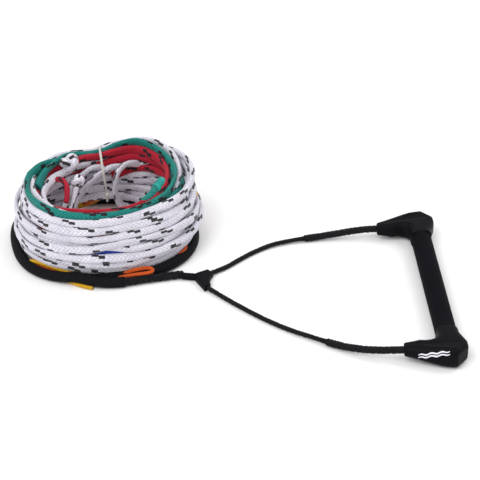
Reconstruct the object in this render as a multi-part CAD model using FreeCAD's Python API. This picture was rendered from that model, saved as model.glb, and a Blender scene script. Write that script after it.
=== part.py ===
import FreeCAD, Part
import math
import os

# Tow rope handle: a grip bar with two end caps, on a rope bridle that joins a yoke, a black
# leader line and a wound ski rope. Millimetres, +Z up, +Y along the bar, +X away from the rope.
# The origin is under the middle of the handle, on the surface that it lies on.

Vec = FreeCAD.Vector
UP = Vec(0, 0, 1)
FAR, NEAR = 1, -1                 # the two ends of the bar
SIDES = (("far", FAR), ("near", NEAR))

# grip bar
TUBE_OD = 19.05                   # aluminium core tube
TUBE_WALL = 1.6
TUBE_BEYOND = 18.0                # how far it runs into each cap
GRIP_OD = 27.5                    # moulded rubber grip
GRIP_HALF = 110.0                 # half its length, and where the caps begin
GRIP_EDGE_ROUND = 0.8
LINER_CLEAR = 1.0                 # play of the rope in its plastic liner, across
LINER_WALL = 1.4
PLUG_DEPTH = 12.0                 # rubber plug round the liner, in each end of the tube
PLUG_FLANGE = 2.0

# end caps
CAP_LENGTH = 55.0                 # from the end of the grip to the tip
CAP_OVER_GRIP = 1.35              # the caps are this much higher and lower than the grip
CAP_REACH = 57.0                  # from the bar's axis to the rope mouth
CAP_BACK = 21.0                   # from the bar's axis to the outer corner
CAP_APEX_X = 5.5                  # the tip's place behind the bar's axis
CAP_CORNER_IN = 17.0              # from the tip inwards to the outer corner
CAP_HEEL_IN = 35.0                # from the tip inwards to the inner end of the back
CAP_SHOULDER = 26.0               # from the bar's axis, where the cap starts to thin
CAP_BELLY = 2.2                   # how far the long outer edge bows out
CAP_ROUND = 2.0
CAP_GRIP_LIP = 0.9                # the cap stands this much proud of the grip
CAP_INNER_X = 33.1                # end of the inner curve, before the bar's axis
CAP_HOLLOW_X = 19.4               # deepest point of the inner curve, before the bar's axis
CAP_HOLLOW_Y = 14.5               # and beyond the end of the grip
MOUTH_BEYOND = 30.5               # middle of the rope mouth, beyond the end of the grip
MOUTH_WALL = 2.5
MOUTH_STEP = 2.5                  # the cap's inner edge is this much nearer the middle than the mouth
MOUTH_CLEAR = 3.2                 # play of the rope in its channel, across

# emblem: three waves, inlaid in the near cap's top
EMBLEM_LENGTH = 26.0              # it lies on the flat of the cap, behind the shoulder
EMBLEM_X = 11.0                   # its middle, before the bar's axis
EMBLEM_BAND = 1.5
EMBLEM_RISE = 1.2                 # height of a wave
EMBLEM_PITCH = 3.0
EMBLEM_PROUD = 0.25
EMBLEM_INLAY = 0.6
EMBLEM_WAVES = 3

# bridle
CORE_ROPE = 8.0                   # the rope through the bar
CORE_BEND = 15.0                  # its bend inside a cap
CORE_BULGE = 4.5                  # its corner inside a cap, further out than the mouth
SPLICE_D = 10.0                   # where the rope is doubled, next to the caps
LEG_D = 6.5
FLEX_OUT = 8.0                    # the rope flexes this far outside the mouth
FLEX_GAP = 0.5
SPLICE_FAR = [(-72, 141.3, 12.6), (-97, 142.4, 8.2), (-124, 142.2, 5.4), (-150, 139.8, 5.1)]
SPLICE_NEAR = [(-71, -136.5, 12.6), (-94, -127.5, 8.4), (-118, -115.5, 5.5), (-142, -102, 5.1)]
JOIN_FAR = (-166, 136.3, 5.1)
JOIN_NEAR = (-156, -93.5, 5.1)
LEG_FAR = [(-184, 132.4, 4.2), (-207, 118.5, 3.5), (-229, 98, 3.5), (-248, 76, 3.6), (-260, 66, 4.2)]
LEG_NEAR = [(-172, -83.8, 4.2), (-195, -64, 3.5), (-217, -42.5, 3.5), (-238, -18.5, 3.5),
            (-255, 1.5, 3.6), (-265, 13, 4.2)]
YOKE_FAR = (-270, 58.5, 4.5)      # where the legs enter the yoke
YOKE_NEAR = (-275, 24, 4.5)

# yoke and leader
YOKE_THICK = 9.0
YOKE_EAR = 11.0                   # width of the yoke where a leg enters
YOKE_WEB = (-271.5, 41)           # middle of the web between the legs
YOKE_ROUND = 1.8
NECK_D = 9.4
NECK_START = (-290, 50.3, NECK_D / 2)
NECK_END = (-307, 53.3, NECK_D / 2)
LINK_D = 5.5
LEADER_D = 11.0
LEADER = [(-317, 53.4, 5.5), (-331, 50.6, 5.6), (-351, 44.6, 5.7), (-371, 39.6, 6.3)]
LEADER_JOIN = (-384, 37.2, 6.8)
FLOAT_D = 14.0
FLOAT_LINE = [
    (-399, 35.8, 7.05), (-422, 38, 7), (-447, 46, 7), (-470, 60, 7), (-494, 80, 7),
    (-513, 104.5, 7), (-526, 133, 7), (-534, 163, 7), (-533, 193, 7), (-520, 221, 7),
    (-496, 241, 7), (-466, 251, 7), (-434, 254, 7), (-402, 253, 7), (-370, 249, 7),
    (-340, 238, 7), (-314, 219, 7), (-296, 193, 7), (-288, 162, 7), (-290, 130, 7),
    (-301, 101, 7), (-322, 77, 7), (-348, 62, 7), (-376, 54.5, 7), (-405, 52.8, 7),
    (-433, 58.5, 7), (-457, 72, 7), (-480, 91, 7), (-498, 113, 7), (-512, 139, 7),
    (-518, 168, 7), (-514, 194, 7), (-507, 211, 7)]
HITCH = (28.0, 22.0, 14.0)        # the knot that joins leader and ski rope

# wound rope: distances from the middle of the coil to its outside, every 22.5 degrees from +X
COIL_X, COIL_Y = -405.0, 155.0
COIL_RADII = [133, 127, 127, 124, 98, 99, 108, 119, 126, 127, 118, 112, 108, 108, 113, 129]
COIL_WALL = 44.0
COIL_GAP = 0.2                    # the wound rope rests on the black line
LOWER_HEIGHT = 39.8
UPPER_HEIGHT = 44.0
COIL_ROUND = 9.0
TOP_LAYER = 7.6                   # height of the coloured turns on top
GREEN_INSET, RED_INSET = 22.0, 33.0
RED_WIDTH = 11.0
BLUE_BELOW = (9.0, 1.0)           # its low and high edge, under the split of the white rope
BLUE_WIDTH = 7.0
FLOOR_COILS = {"orange_section": (10.0, 0.0), "yellow_section": (9.0, 10.0)}   # width, inset
FLOOR_COIL = (-402.0, 153.0, 97.0, 84.0)       # middle, half length and half width
ROPE_D = 7.5

# ends inside the coil
BIG_KNOT = (-456, 207, 101, 24, 18, 18)        # middle, length, width, height
SMALL_KNOT = (-452, 172, 65, 17, 13, 13)
RED_LOOP = [(-478, 186, 72), (-468, 184, 77), (-459, 175, 76), (-456, 163, 68), (-460, 154, 58)]
TOW_END = [(-452, 166.5, 62), (-455, 156, 47), (-458, 144, 33), (-458, 131, 21), (-453, 119, 12),
           (-443, 110, 7), (-430, 105, 4.8)]
TOW_EYE = [(-413, 102.5, 4.2), (-394, 103, 4), (-375, 109, 4), (-360, 122, 4), (-355, 141, 4),
           (-361, 160, 4), (-377, 171, 4), (-396, 171, 4), (-410, 159, 4), (-415, 141, 4),
           (-417, 124, 4.4)]
WHIPPING_Y = 148.0                # the bound end of the green rope, inside the right of the coil
WHIPPING_LENGTH, WHIPPING_D = 30.0, 11.0
WHIPPING_GAP = 0.5

# cable tie round the back of the coil
TIE_ANGLE = 98.0
TIE_CLEAR = 6.0                   # it stands this far inside the inner turns
TIE_BITE = 6.0                    # and is pulled this far into the outer turns
TIE_LIFT = 8.8                    # and into the lowest ones
TIE_OVER = 2.4                    # above the top turns
TIE_WIDTH = 4.8
TIE_THICK = 1.3
TIE_HEAD = (8.0, 7.0, 9.0)
TIE_HEAD_ROUND = 1.2

CAP_HEIGHT = GRIP_OD + 2 * CAP_OVER_GRIP
CAP_TIP = GRIP_HALF + CAP_LENGTH
TUBE_HALF = GRIP_HALF + TUBE_BEYOND
MOUTH_Y = GRIP_HALF + MOUTH_BEYOND
MOUTH_BORE = CORE_ROPE + MOUTH_CLEAR
MOUTH_R = MOUTH_BORE / 2 + MOUTH_WALL
LINER_ID = CORE_ROPE + LINER_CLEAR
COIL_BASE = FLOAT_D + COIL_GAP
COIL_SPLIT = COIL_BASE + LOWER_HEIGHT
COIL_TOP = COIL_SPLIT + UPPER_HEIGHT
BAR_X = (CAP_REACH - CAP_BACK) / 2
BAR_Z = CAP_HEIGHT / 2
MOUTH_X = BAR_X - CAP_REACH
FLEX_X = MOUTH_X - FLEX_OUT
TUBE_ID = TUBE_OD - 2 * TUBE_WALL
LINER_OD = LINER_ID + 2 * LINER_WALL


def cylinder(start, end, diameter):
    start, end = Vec(*start), Vec(*end)
    return Part.makeCylinder(diameter / 2, (end - start).Length, start, end - start)


def bar_cylinder(half, diameter):
    return cylinder((BAR_X, -half, BAR_Z), (BAR_X, half, BAR_Z), diameter)


def route(points, radius=None):
    """Straight runs joined by tangent arcs, as large as the runs allow unless a radius is given."""
    pts = [Vec(*p) for p in points]
    edges, here, radii = [], pts[0], []
    for before, corner, after in zip(pts, pts[1:], pts[2:]):
        back, ahead = (before - corner), (after - corner)
        turn = math.pi - back.getAngle(ahead)
        shorter = min(back.Length, ahead.Length)
        bend = radius or 0.45 * shorter / math.tan(turn / 2)
        cut = bend * math.tan(turn / 2)
        back.normalize()
        ahead.normalize()
        start, end = corner + back * cut, corner + ahead * cut
        inward = (back + ahead).normalize()
        middle = corner + inward * (bend / math.cos(turn / 2) - bend)
        edges += [Part.LineSegment(here, start).toShape(), Part.Arc(start, middle, end).toShape()]
        here = end
        radii.append(bend)
    edges.append(Part.LineSegment(here, pts[-1]).toShape())
    return Part.Wire(edges), radii


def tube(name, points, diameter, radius=None):
    wire, radii = route(points, radius)
    first = wire.Edges[0]
    start = first.valueAt(first.FirstParameter)
    profile = Part.Wire(Part.makeCircle(diameter / 2, start, first.tangentAt(first.FirstParameter)))
    solid = wire.makePipeShell([profile], True, False)
    expected = math.pi * diameter ** 2 / 4 * wire.Length
    print(f"{name}: length {wire.Length:.0f}, least radius {min(radii):.0f},",
          f"volume {solid.Volume / expected:.3f} of section times length")
    return solid


def extrude(edges, height):
    return Part.Face(Part.Wire(edges)).extrude(Vec(0, 0, height))


def line(a, b):
    return Part.LineSegment(Vec(*a), Vec(*b)).toShape()


def arc(a, middle, b):
    return Part.Arc(Vec(*a), Vec(*middle), Vec(*b)).toShape()


def cap_plan(side):
    """The cap from above: mouth, long bowed edge, tip, back, heel, grip end, inner curve."""
    lip = GRIP_OD / 2 + CAP_GRIP_LIP
    mouth_out = (MOUTH_X, side * (MOUTH_Y + MOUTH_R), 0)
    mouth_in = (MOUTH_X, side * (MOUTH_Y - MOUTH_R), 0)
    tip = (BAR_X + CAP_APEX_X, side * CAP_TIP, 0)
    bow = ((mouth_out[0] + tip[0]) / 2, (mouth_out[1] + tip[1]) / 2 + side * CAP_BELLY, 0)
    corner = (BAR_X + CAP_BACK, side * (CAP_TIP - CAP_CORNER_IN), 0)
    heel = (BAR_X + CAP_BACK, side * (CAP_TIP - CAP_HEEL_IN), 0)
    grip_back = (BAR_X + lip, side * GRIP_HALF, 0)
    grip_front = (BAR_X - lip, side * GRIP_HALF, 0)
    inner = (BAR_X - CAP_INNER_X, side * (MOUTH_Y - MOUTH_R - MOUTH_STEP), 0)
    hollow = (BAR_X - CAP_HOLLOW_X, side * (GRIP_HALF + CAP_HOLLOW_Y), 0)
    return [line(mouth_in, mouth_out), arc(mouth_out, bow, tip), line(tip, corner),
            line(corner, heel), line(heel, grip_back), line(grip_back, grip_front),
            arc(grip_front, hollow, inner), line(inner, mouth_in)]


def core_route():
    """The bridle rope's line through the bar, from flex point to flex point."""
    corner = MOUTH_Y + CORE_BULGE
    return [(FLEX_X, MOUTH_Y, BAR_Z), (BAR_X, corner, BAR_Z), (BAR_X, -corner, BAR_Z),
            (FLEX_X, -MOUTH_Y, BAR_Z)]


def end_cap(side, channel):
    body = extrude(cap_plan(side), CAP_HEIGHT)
    shoulder = BAR_X - CAP_SHOULDER
    profile = [(MOUTH_X, BAR_Z - MOUTH_R), (shoulder, 0), (BAR_X + CAP_BACK + 1, 0),
               (BAR_X + CAP_BACK + 1, CAP_HEIGHT), (shoulder, CAP_HEIGHT), (MOUTH_X, BAR_Z + MOUTH_R)]
    side_view = [Vec(x, -CAP_TIP - 1, z) for x, z in profile]
    slab = Part.Face(Part.makePolygon(side_view + side_view[:1])).extrude(Vec(0, 2 * CAP_TIP + 2, 0))
    body = body.common(slab).Solids[0]
    sharp = [e for e in body.Edges if abs(e.CenterOfMass.y * side - GRIP_HALF) > 0.5]
    body = body.makeFillet(CAP_ROUND, sharp)
    socket = cylinder((BAR_X, side * (GRIP_HALF - 1), BAR_Z), (BAR_X, side * TUBE_HALF, BAR_Z), TUBE_OD)
    seat = cylinder((BAR_X, side * TUBE_HALF, BAR_Z), (BAR_X, side * (TUBE_HALF + PLUG_FLANGE), BAR_Z),
                    TUBE_OD)
    return body.cut(socket).cut(seat).cut(channel)


def tube_plug(side):
    end = TUBE_HALF * side
    barrel = cylinder((BAR_X, end - side * PLUG_DEPTH, BAR_Z), (BAR_X, end, BAR_Z), TUBE_ID)
    flange = cylinder((BAR_X, end, BAR_Z), (BAR_X, end + side * PLUG_FLANGE, BAR_Z), TUBE_OD)
    bore = cylinder((BAR_X, end - side * 2 * PLUG_DEPTH, BAR_Z), (BAR_X, end + side * PLUG_DEPTH, BAR_Z),
                    LINER_OD)
    return barrel.fuse(flange).cut(bore).removeSplitter()


def wave(base_y):
    """One wave band of the emblem, three even waves long."""
    left = BAR_X - EMBLEM_X - EMBLEM_LENGTH / 2
    right = left + EMBLEM_LENGTH
    half = EMBLEM_LENGTH / (2 * EMBLEM_WAVES)
    low = CAP_HEIGHT - EMBLEM_INLAY

    def hump(y, k, direction):
        a, b = left + k * half, left + (k + 1) * half
        crest = ((a + b) / 2, y + (EMBLEM_RISE if k % 2 else -EMBLEM_RISE), low)
        ends = ((a, y, low), (b, y, low))
        return arc(ends[0], crest, ends[1]) if direction > 0 else arc(ends[1], crest, ends[0])

    steps = range(2 * EMBLEM_WAVES)
    edges = [hump(base_y, k, 1) for k in steps]
    edges.append(line((right, base_y, low), (right, base_y + EMBLEM_BAND, low)))
    edges += [hump(base_y + EMBLEM_BAND, k, -1) for k in reversed(steps)]
    edges.append(line((left, base_y + EMBLEM_BAND, low), (left, base_y, low)))
    return extrude(edges, EMBLEM_INLAY + EMBLEM_PROUD)


def yoke():
    """Flat moulded triangle: an ear round each leg, a web between them, a waist at the neck."""

    def across(entry, towards, width):
        way = (Vec(*towards) - Vec(*entry)).normalize()
        side = way.cross(UP) * (width / 2)
        flat = Vec(entry[0], entry[1], 0)
        return tuple(flat + side), tuple(flat - side)

    far_in, far_out = across(YOKE_FAR, LEG_FAR[-1], YOKE_EAR)
    near_out, near_in = across(YOKE_NEAR, LEG_NEAR[-1], YOKE_EAR)
    neck_far, neck_near = across(NECK_START, NECK_END, NECK_D)
    web = (YOKE_WEB[0], YOKE_WEB[1], 0)
    far_side, near_side = sorted((far_in, far_out)), sorted((near_in, near_out))
    plan = [line(far_side[0], far_side[1]), arc(far_side[1], web, near_side[1]),
            line(near_side[1], near_side[0]), line(near_side[0], neck_near),
            line(neck_near, neck_far), line(neck_far, far_side[0])]
    body = extrude(plan, YOKE_THICK)
    rims = [e for e in body.Edges if abs(e.CenterOfMass.z - YOKE_THICK / 2) > 1]
    return body.makeFillet(YOKE_ROUND, rims)


def coil_outline(inset, z):
    """The coil's plan, drawn in from its outside by the inset: one smooth closed curve."""
    step = 2 * math.pi / len(COIL_RADII)
    pts = [Vec(COIL_X + (r - inset) * math.cos(k * step), COIL_Y + (r - inset) * math.sin(k * step), z)
           for k, r in enumerate(COIL_RADII)]
    curve = Part.BSplineCurve()
    curve.interpolate(pts, PeriodicFlag=True)
    return Part.Face(Part.Wire(curve.toShape()))


def coil_ring(outer_inset, inner_inset, low, high):
    return coil_outline(outer_inset, low).cut(coil_outline(inner_inset, low)).extrude(UP * (high - low))


def rounded_coil(low, high, rounded_z):
    """A coil whose outer rim at one height is rounded over."""
    ring = coil_ring(0, COIL_WALL, low, high)
    rim = max((e for e in ring.Edges if abs(e.BoundBox.ZMin - rounded_z) < 0.01
               and e.BoundBox.ZLength < 0.01), key=lambda e: e.Length)
    return ring.makeFillet(COIL_ROUND, [rim])


def floor_ring(width, inset):
    x, y, half_x, half_y = FLOOR_COIL
    faces = [Part.Face(Part.Wire(Part.Ellipse(Vec(x, y, 0), half_x - d, half_y - d).toShape()))
             for d in (inset, inset + width)]
    return faces[0].cut(faces[1]).extrude(UP * COIL_BASE)


def ball_knot(x, y, z, length, width, height):
    """A tied knot's outer shape: an egg, longest along X."""
    ball = Part.makeSphere(1.0)
    stretch = FreeCAD.Matrix()
    stretch.scale(length / 2, width / 2, height / 2)
    stretch.move(Vec(x, y, z))
    return ball.transformGeometry(stretch)


def whipping():
    """The bound end of the green rope, along the inner face of the coil, level with its top turns."""
    x = COIL_X + COIL_RADII[0] - COIL_WALL - WHIPPING_D / 2 - WHIPPING_GAP
    z = COIL_TOP + TOP_LAYER / 2
    ends = [(x, WHIPPING_Y + end * WHIPPING_LENGTH / 2, z) for end in (NEAR, FAR)]
    return cylinder(*ends, WHIPPING_D)


def cable_tie():
    """A strap round the bundle of turns at the back of the coil, and its head inside."""
    reach = COIL_RADII[round(TIE_ANGLE * len(COIL_RADII) / 360)]
    inner, outer = reach - COIL_WALL - BLUE_WIDTH - TIE_CLEAR, reach - TIE_BITE
    low, high = COIL_BASE + TIE_LIFT, COIL_TOP + TOP_LAYER + TIE_OVER

    def frame(grow):
        return Part.makeBox(outer - inner + 2 * grow, TIE_WIDTH, high - low + 2 * grow,
                            Vec(inner - grow, -TIE_WIDTH / 2, low - grow))
    strap = frame(TIE_THICK).cut(frame(0))
    head_long, head_wide, head_high = TIE_HEAD
    head = Part.makeBox(head_long, head_wide, head_high,
                        Vec(inner - TIE_THICK - head_long, -head_wide / 2, low - TIE_THICK))
    head = head.makeFillet(TIE_HEAD_ROUND, head.Edges)
    for piece in (strap, head):
        piece.rotate(Vec(0, 0, 0), UP, TIE_ANGLE)
        piece.translate(Vec(COIL_X, COIL_Y, 0))
    return strap, head


def handle():
    core_tube = bar_cylinder(TUBE_HALF, TUBE_OD).cut(bar_cylinder(TUBE_HALF, TUBE_ID))
    grip = bar_cylinder(GRIP_HALF, GRIP_OD)
    grip = grip.makeFillet(GRIP_EDGE_ROUND, [e for e in grip.Edges if e.Closed and e.BoundBox.YLength < 1])
    liner = bar_cylinder(TUBE_HALF, LINER_OD).cut(bar_cylinder(TUBE_HALF, LINER_ID))
    rope = tube("bridle_core_rope", core_route(), CORE_ROPE, CORE_BEND)
    channel = tube("channel", core_route(), MOUTH_BORE, CORE_BEND)
    nodes = {"core_tube": core_tube, "grip_sleeve": grip.cut(bar_cylinder(GRIP_HALF, TUBE_OD)),
             "inner_liner": liner}
    for name, side in SIDES:
        rope = rope.fuse(Part.makeSphere(CORE_ROPE / 2, Vec(FLEX_X, side * MOUTH_Y, BAR_Z)))
        nodes[f"end_cap_{name}"] = end_cap(side, channel)
        nodes[f"tube_plug_{name}"] = tube_plug(side)
    nodes["bridle_core_rope"] = rope
    top = NEAR * (MOUTH_Y + MOUTH_R)
    emblem = Part.makeCompound([wave(top + k * EMBLEM_PITCH) for k in range(2)])
    nodes["cap_emblem"] = emblem
    nodes["end_cap_near"] = nodes["end_cap_near"].cut(emblem)
    return nodes


def bridle():
    start_x = FLEX_X - CORE_ROPE / 2 - FLEX_GAP
    legs = {
        "far": (SPLICE_FAR, JOIN_FAR, LEG_FAR, YOKE_FAR, FAR),
        "near": (SPLICE_NEAR, JOIN_NEAR, LEG_NEAR, YOKE_NEAR, NEAR)}
    nodes = {}
    for name, (splice, join, leg, entry, side) in legs.items():
        first = (start_x, side * MOUTH_Y, BAR_Z)
        nodes[f"bridle_splice_{name}"] = tube(f"splice {name}", [first] + splice + [join], SPLICE_D)
        nodes[f"bridle_leg_{name}"] = tube(f"leg {name}", [join] + leg + [entry], LEG_D)
    nodes["yoke_body"] = yoke()
    nodes["yoke_neck"] = cylinder(NECK_START, NECK_END, NECK_D)
    nodes["neck_link"] = cylinder(NECK_END, LEADER[0], LINK_D)
    nodes["leader_splice"] = tube("leader splice", LEADER + [LEADER_JOIN], LEADER_D)
    nodes["float_line"] = tube("float line", [LEADER_JOIN] + FLOAT_LINE, FLOAT_D)
    return nodes


def wound_rope():
    nodes = {name: floor_ring(width, inset) for name, (width, inset) in FLOOR_COILS.items()}
    nodes["white_lower_coil"] = rounded_coil(COIL_BASE, COIL_SPLIT, COIL_BASE)
    nodes["white_upper_coil"] = rounded_coil(COIL_SPLIT, COIL_TOP, COIL_TOP)
    blue_low, blue_high = (COIL_SPLIT - below for below in BLUE_BELOW)
    nodes["blue_section"] = coil_ring(COIL_WALL, COIL_WALL + BLUE_WIDTH, blue_low, blue_high)
    top = COIL_TOP + TOP_LAYER
    nodes["green_section"] = coil_ring(GREEN_INSET, RED_INSET, COIL_TOP, top)
    nodes["red_section"] = coil_ring(RED_INSET, RED_INSET + RED_WIDTH, COIL_TOP, top)
    end = FLOAT_LINE[-1]
    long, wide, high = HITCH
    nodes["hitch_knot"] = ball_knot(end[0] + long / 4, end[1] + wide / 4, high / 2, long, wide, high)
    nodes["big_knot"] = ball_knot(*BIG_KNOT)
    nodes["small_knot"] = ball_knot(*SMALL_KNOT)
    nodes["red_loop_end"] = tube("red loop end", RED_LOOP, ROPE_D)
    nodes["tow_line_end"] = tube("tow line end", TOW_END, ROPE_D)
    nodes["tow_loop"] = tube("tow loop", TOW_END[-1:] + TOW_EYE, ROPE_D)
    nodes["green_whipping"] = whipping()
    nodes["tie_strap"], nodes["tie_head"] = cable_tie()
    return nodes


os.makedirs("parts", exist_ok=True)
for node, shape in {**handle(), **bridle(), **wound_rope()}.items():
    if not shape.isValid():
        raise ValueError(f"{node} is not a valid solid")
    shape.exportStep(f"parts/{node}.step")
    print(f"{node}: {len(shape.Solids)} solid, {shape.Volume / 1000:.1f} cm3")
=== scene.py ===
"""Looks of a tow rope handle: grip bar, end caps, rope bridle, yoke, leader and a wound ski rope.

Metres, in the frame of the CAD part: +Z up, +Y along the grip bar, +X away from the rope.
"""

import logging
import math
from dataclasses import dataclass, field
from enum import Enum

import bmesh
import bpy
import numpy as np
from mathutils import Matrix, Vector
from mathutils.bvhtree import BVHTree


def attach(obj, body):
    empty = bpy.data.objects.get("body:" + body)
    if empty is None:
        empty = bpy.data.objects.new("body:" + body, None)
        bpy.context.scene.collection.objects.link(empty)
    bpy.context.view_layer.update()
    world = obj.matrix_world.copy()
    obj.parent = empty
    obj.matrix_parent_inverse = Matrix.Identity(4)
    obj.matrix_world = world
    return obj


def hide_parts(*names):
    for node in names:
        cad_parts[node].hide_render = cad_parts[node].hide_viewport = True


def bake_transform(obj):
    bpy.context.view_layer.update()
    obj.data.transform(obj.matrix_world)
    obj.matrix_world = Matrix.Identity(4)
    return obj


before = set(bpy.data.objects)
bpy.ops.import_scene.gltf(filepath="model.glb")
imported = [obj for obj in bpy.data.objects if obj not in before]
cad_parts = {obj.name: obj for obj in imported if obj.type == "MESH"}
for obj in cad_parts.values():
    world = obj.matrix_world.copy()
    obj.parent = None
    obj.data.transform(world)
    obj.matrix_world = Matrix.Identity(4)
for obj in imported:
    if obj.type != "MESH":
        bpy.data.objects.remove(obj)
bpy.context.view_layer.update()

MM = 0.001
LOG = logging.getLogger("tow_rope_handle")

Points = list[tuple[float, float, float]]


# --------------------------------------------------------------------------- materials


class Graph:
    """A material's node tree, with short calls for the nodes that the finishes share."""

    def __init__(self, name: str, **shader: object) -> None:
        """Starts a material with one Principled shader.

        Args:
            name: the material's name.
            **shader: constant values for the shader's sockets, with _ for a space.
        """
        self.material = bpy.data.materials.new(name)
        self.material.use_nodes = True
        self.tree = self.material.node_tree
        self.tree.nodes.clear()
        self.shader = self.node("ShaderNodeBsdfPrincipled")
        output = self.node("ShaderNodeOutputMaterial")
        self.tree.links.new(self.shader.outputs["BSDF"], output.inputs["Surface"])
        for key, value in shader.items():
            self.shader.inputs[key.replace("_", " ")].default_value = value

    def node(self, kind: str, **settings: object) -> bpy.types.Node:
        """Adds a node and sets its properties."""
        made = self.tree.nodes.new(kind)
        for key, value in settings.items():
            setattr(made, key, value)
        return made

    def feed(self, socket: bpy.types.NodeSocket, value: object) -> None:
        """Links a socket to another, or sets its constant."""
        if isinstance(value, bpy.types.NodeSocket):
            self.tree.links.new(value, socket)
        elif value is not None:
            socket.default_value = value

    def math(self, operation: str, *values: object, clamp: bool = False) -> bpy.types.NodeSocket:
        """Adds a Math node.

        Args:
            operation: the node's operation.
            *values: up to three sockets or numbers.
            clamp: whether the result stays between 0 and 1.

        Returns:
            The node's result.
        """
        made = self.node("ShaderNodeMath", operation=operation, use_clamp=clamp)
        for socket, value in zip(made.inputs, values):
            self.feed(socket, value)
        return made.outputs[0]

    def coordinate(self, layer: str | None = None) -> tuple[bpy.types.NodeSocket, ...]:
        """Returns the x, y and z sockets of a UV layer, or of Object coordinates."""
        if layer is None:
            source = self.node("ShaderNodeTexCoord").outputs["Object"]
        else:
            source = self.node("ShaderNodeUVMap", uv_map=layer).outputs["UV"]
        split = self.node("ShaderNodeSeparateXYZ")
        self.feed(split.inputs[0], source)
        return tuple(split.outputs)

    def noise(self, scale: float, detail: float = 3.0, roughness: float = 0.5) -> bpy.types.NodeSocket:
        """Adds a noise texture on Object coordinates and returns its 0 to 1 value."""
        made = self.node("ShaderNodeTexNoise")
        self.feed(made.inputs["Vector"], self.node("ShaderNodeTexCoord").outputs["Object"])
        for key, value in (("Scale", scale), ("Detail", detail), ("Roughness", roughness)):
            made.inputs[key].default_value = value
        return made.outputs[0]

    def span(self, value: object, low: float, high: float, to_low: float,
             to_high: float) -> bpy.types.NodeSocket:
        """Maps a value from one range to another, clamped."""
        made = self.node("ShaderNodeMapRange")
        for socket, item in zip(made.inputs, (value, low, high, to_low, to_high)):
            self.feed(socket, item)
        return made.outputs[0]

    def blend(self, factor: object, first: object, second: object,
              mode: str = "MIX") -> bpy.types.NodeSocket:
        """Mixes two colours by a factor."""
        made = self.node("ShaderNodeMix", data_type="RGBA", blend_type=mode)
        self.feed(made.inputs[0], factor)
        self.feed(made.inputs[6], first)
        self.feed(made.inputs[7], second)
        return made.outputs[2]

    def relief(self, height: object, distance: float, strength: float = 1.0) -> None:
        """Puts a bump on the shader, above any that is there."""
        made = self.node("ShaderNodeBump")
        made.inputs["Strength"].default_value = strength
        made.inputs["Distance"].default_value = distance
        self.feed(made.inputs["Height"], height)
        held = self.shader.inputs["Normal"].links
        if held:
            self.feed(made.inputs["Normal"], held[0].from_socket)
        self.feed(self.shader.inputs["Normal"], made.outputs[0])

    def put(self, name: str, value: object) -> None:
        """Feeds one of the shader's inputs."""
        self.feed(self.shader.inputs[name], value)


def rgba(colour: tuple[float, float, float], gain: float = 1.0) -> tuple[float, ...]:
    """Returns a linear colour with alpha 1, made lighter or darker by a gain."""
    return tuple(min(1.0, c * gain) for c in colour) + (1.0,)


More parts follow.
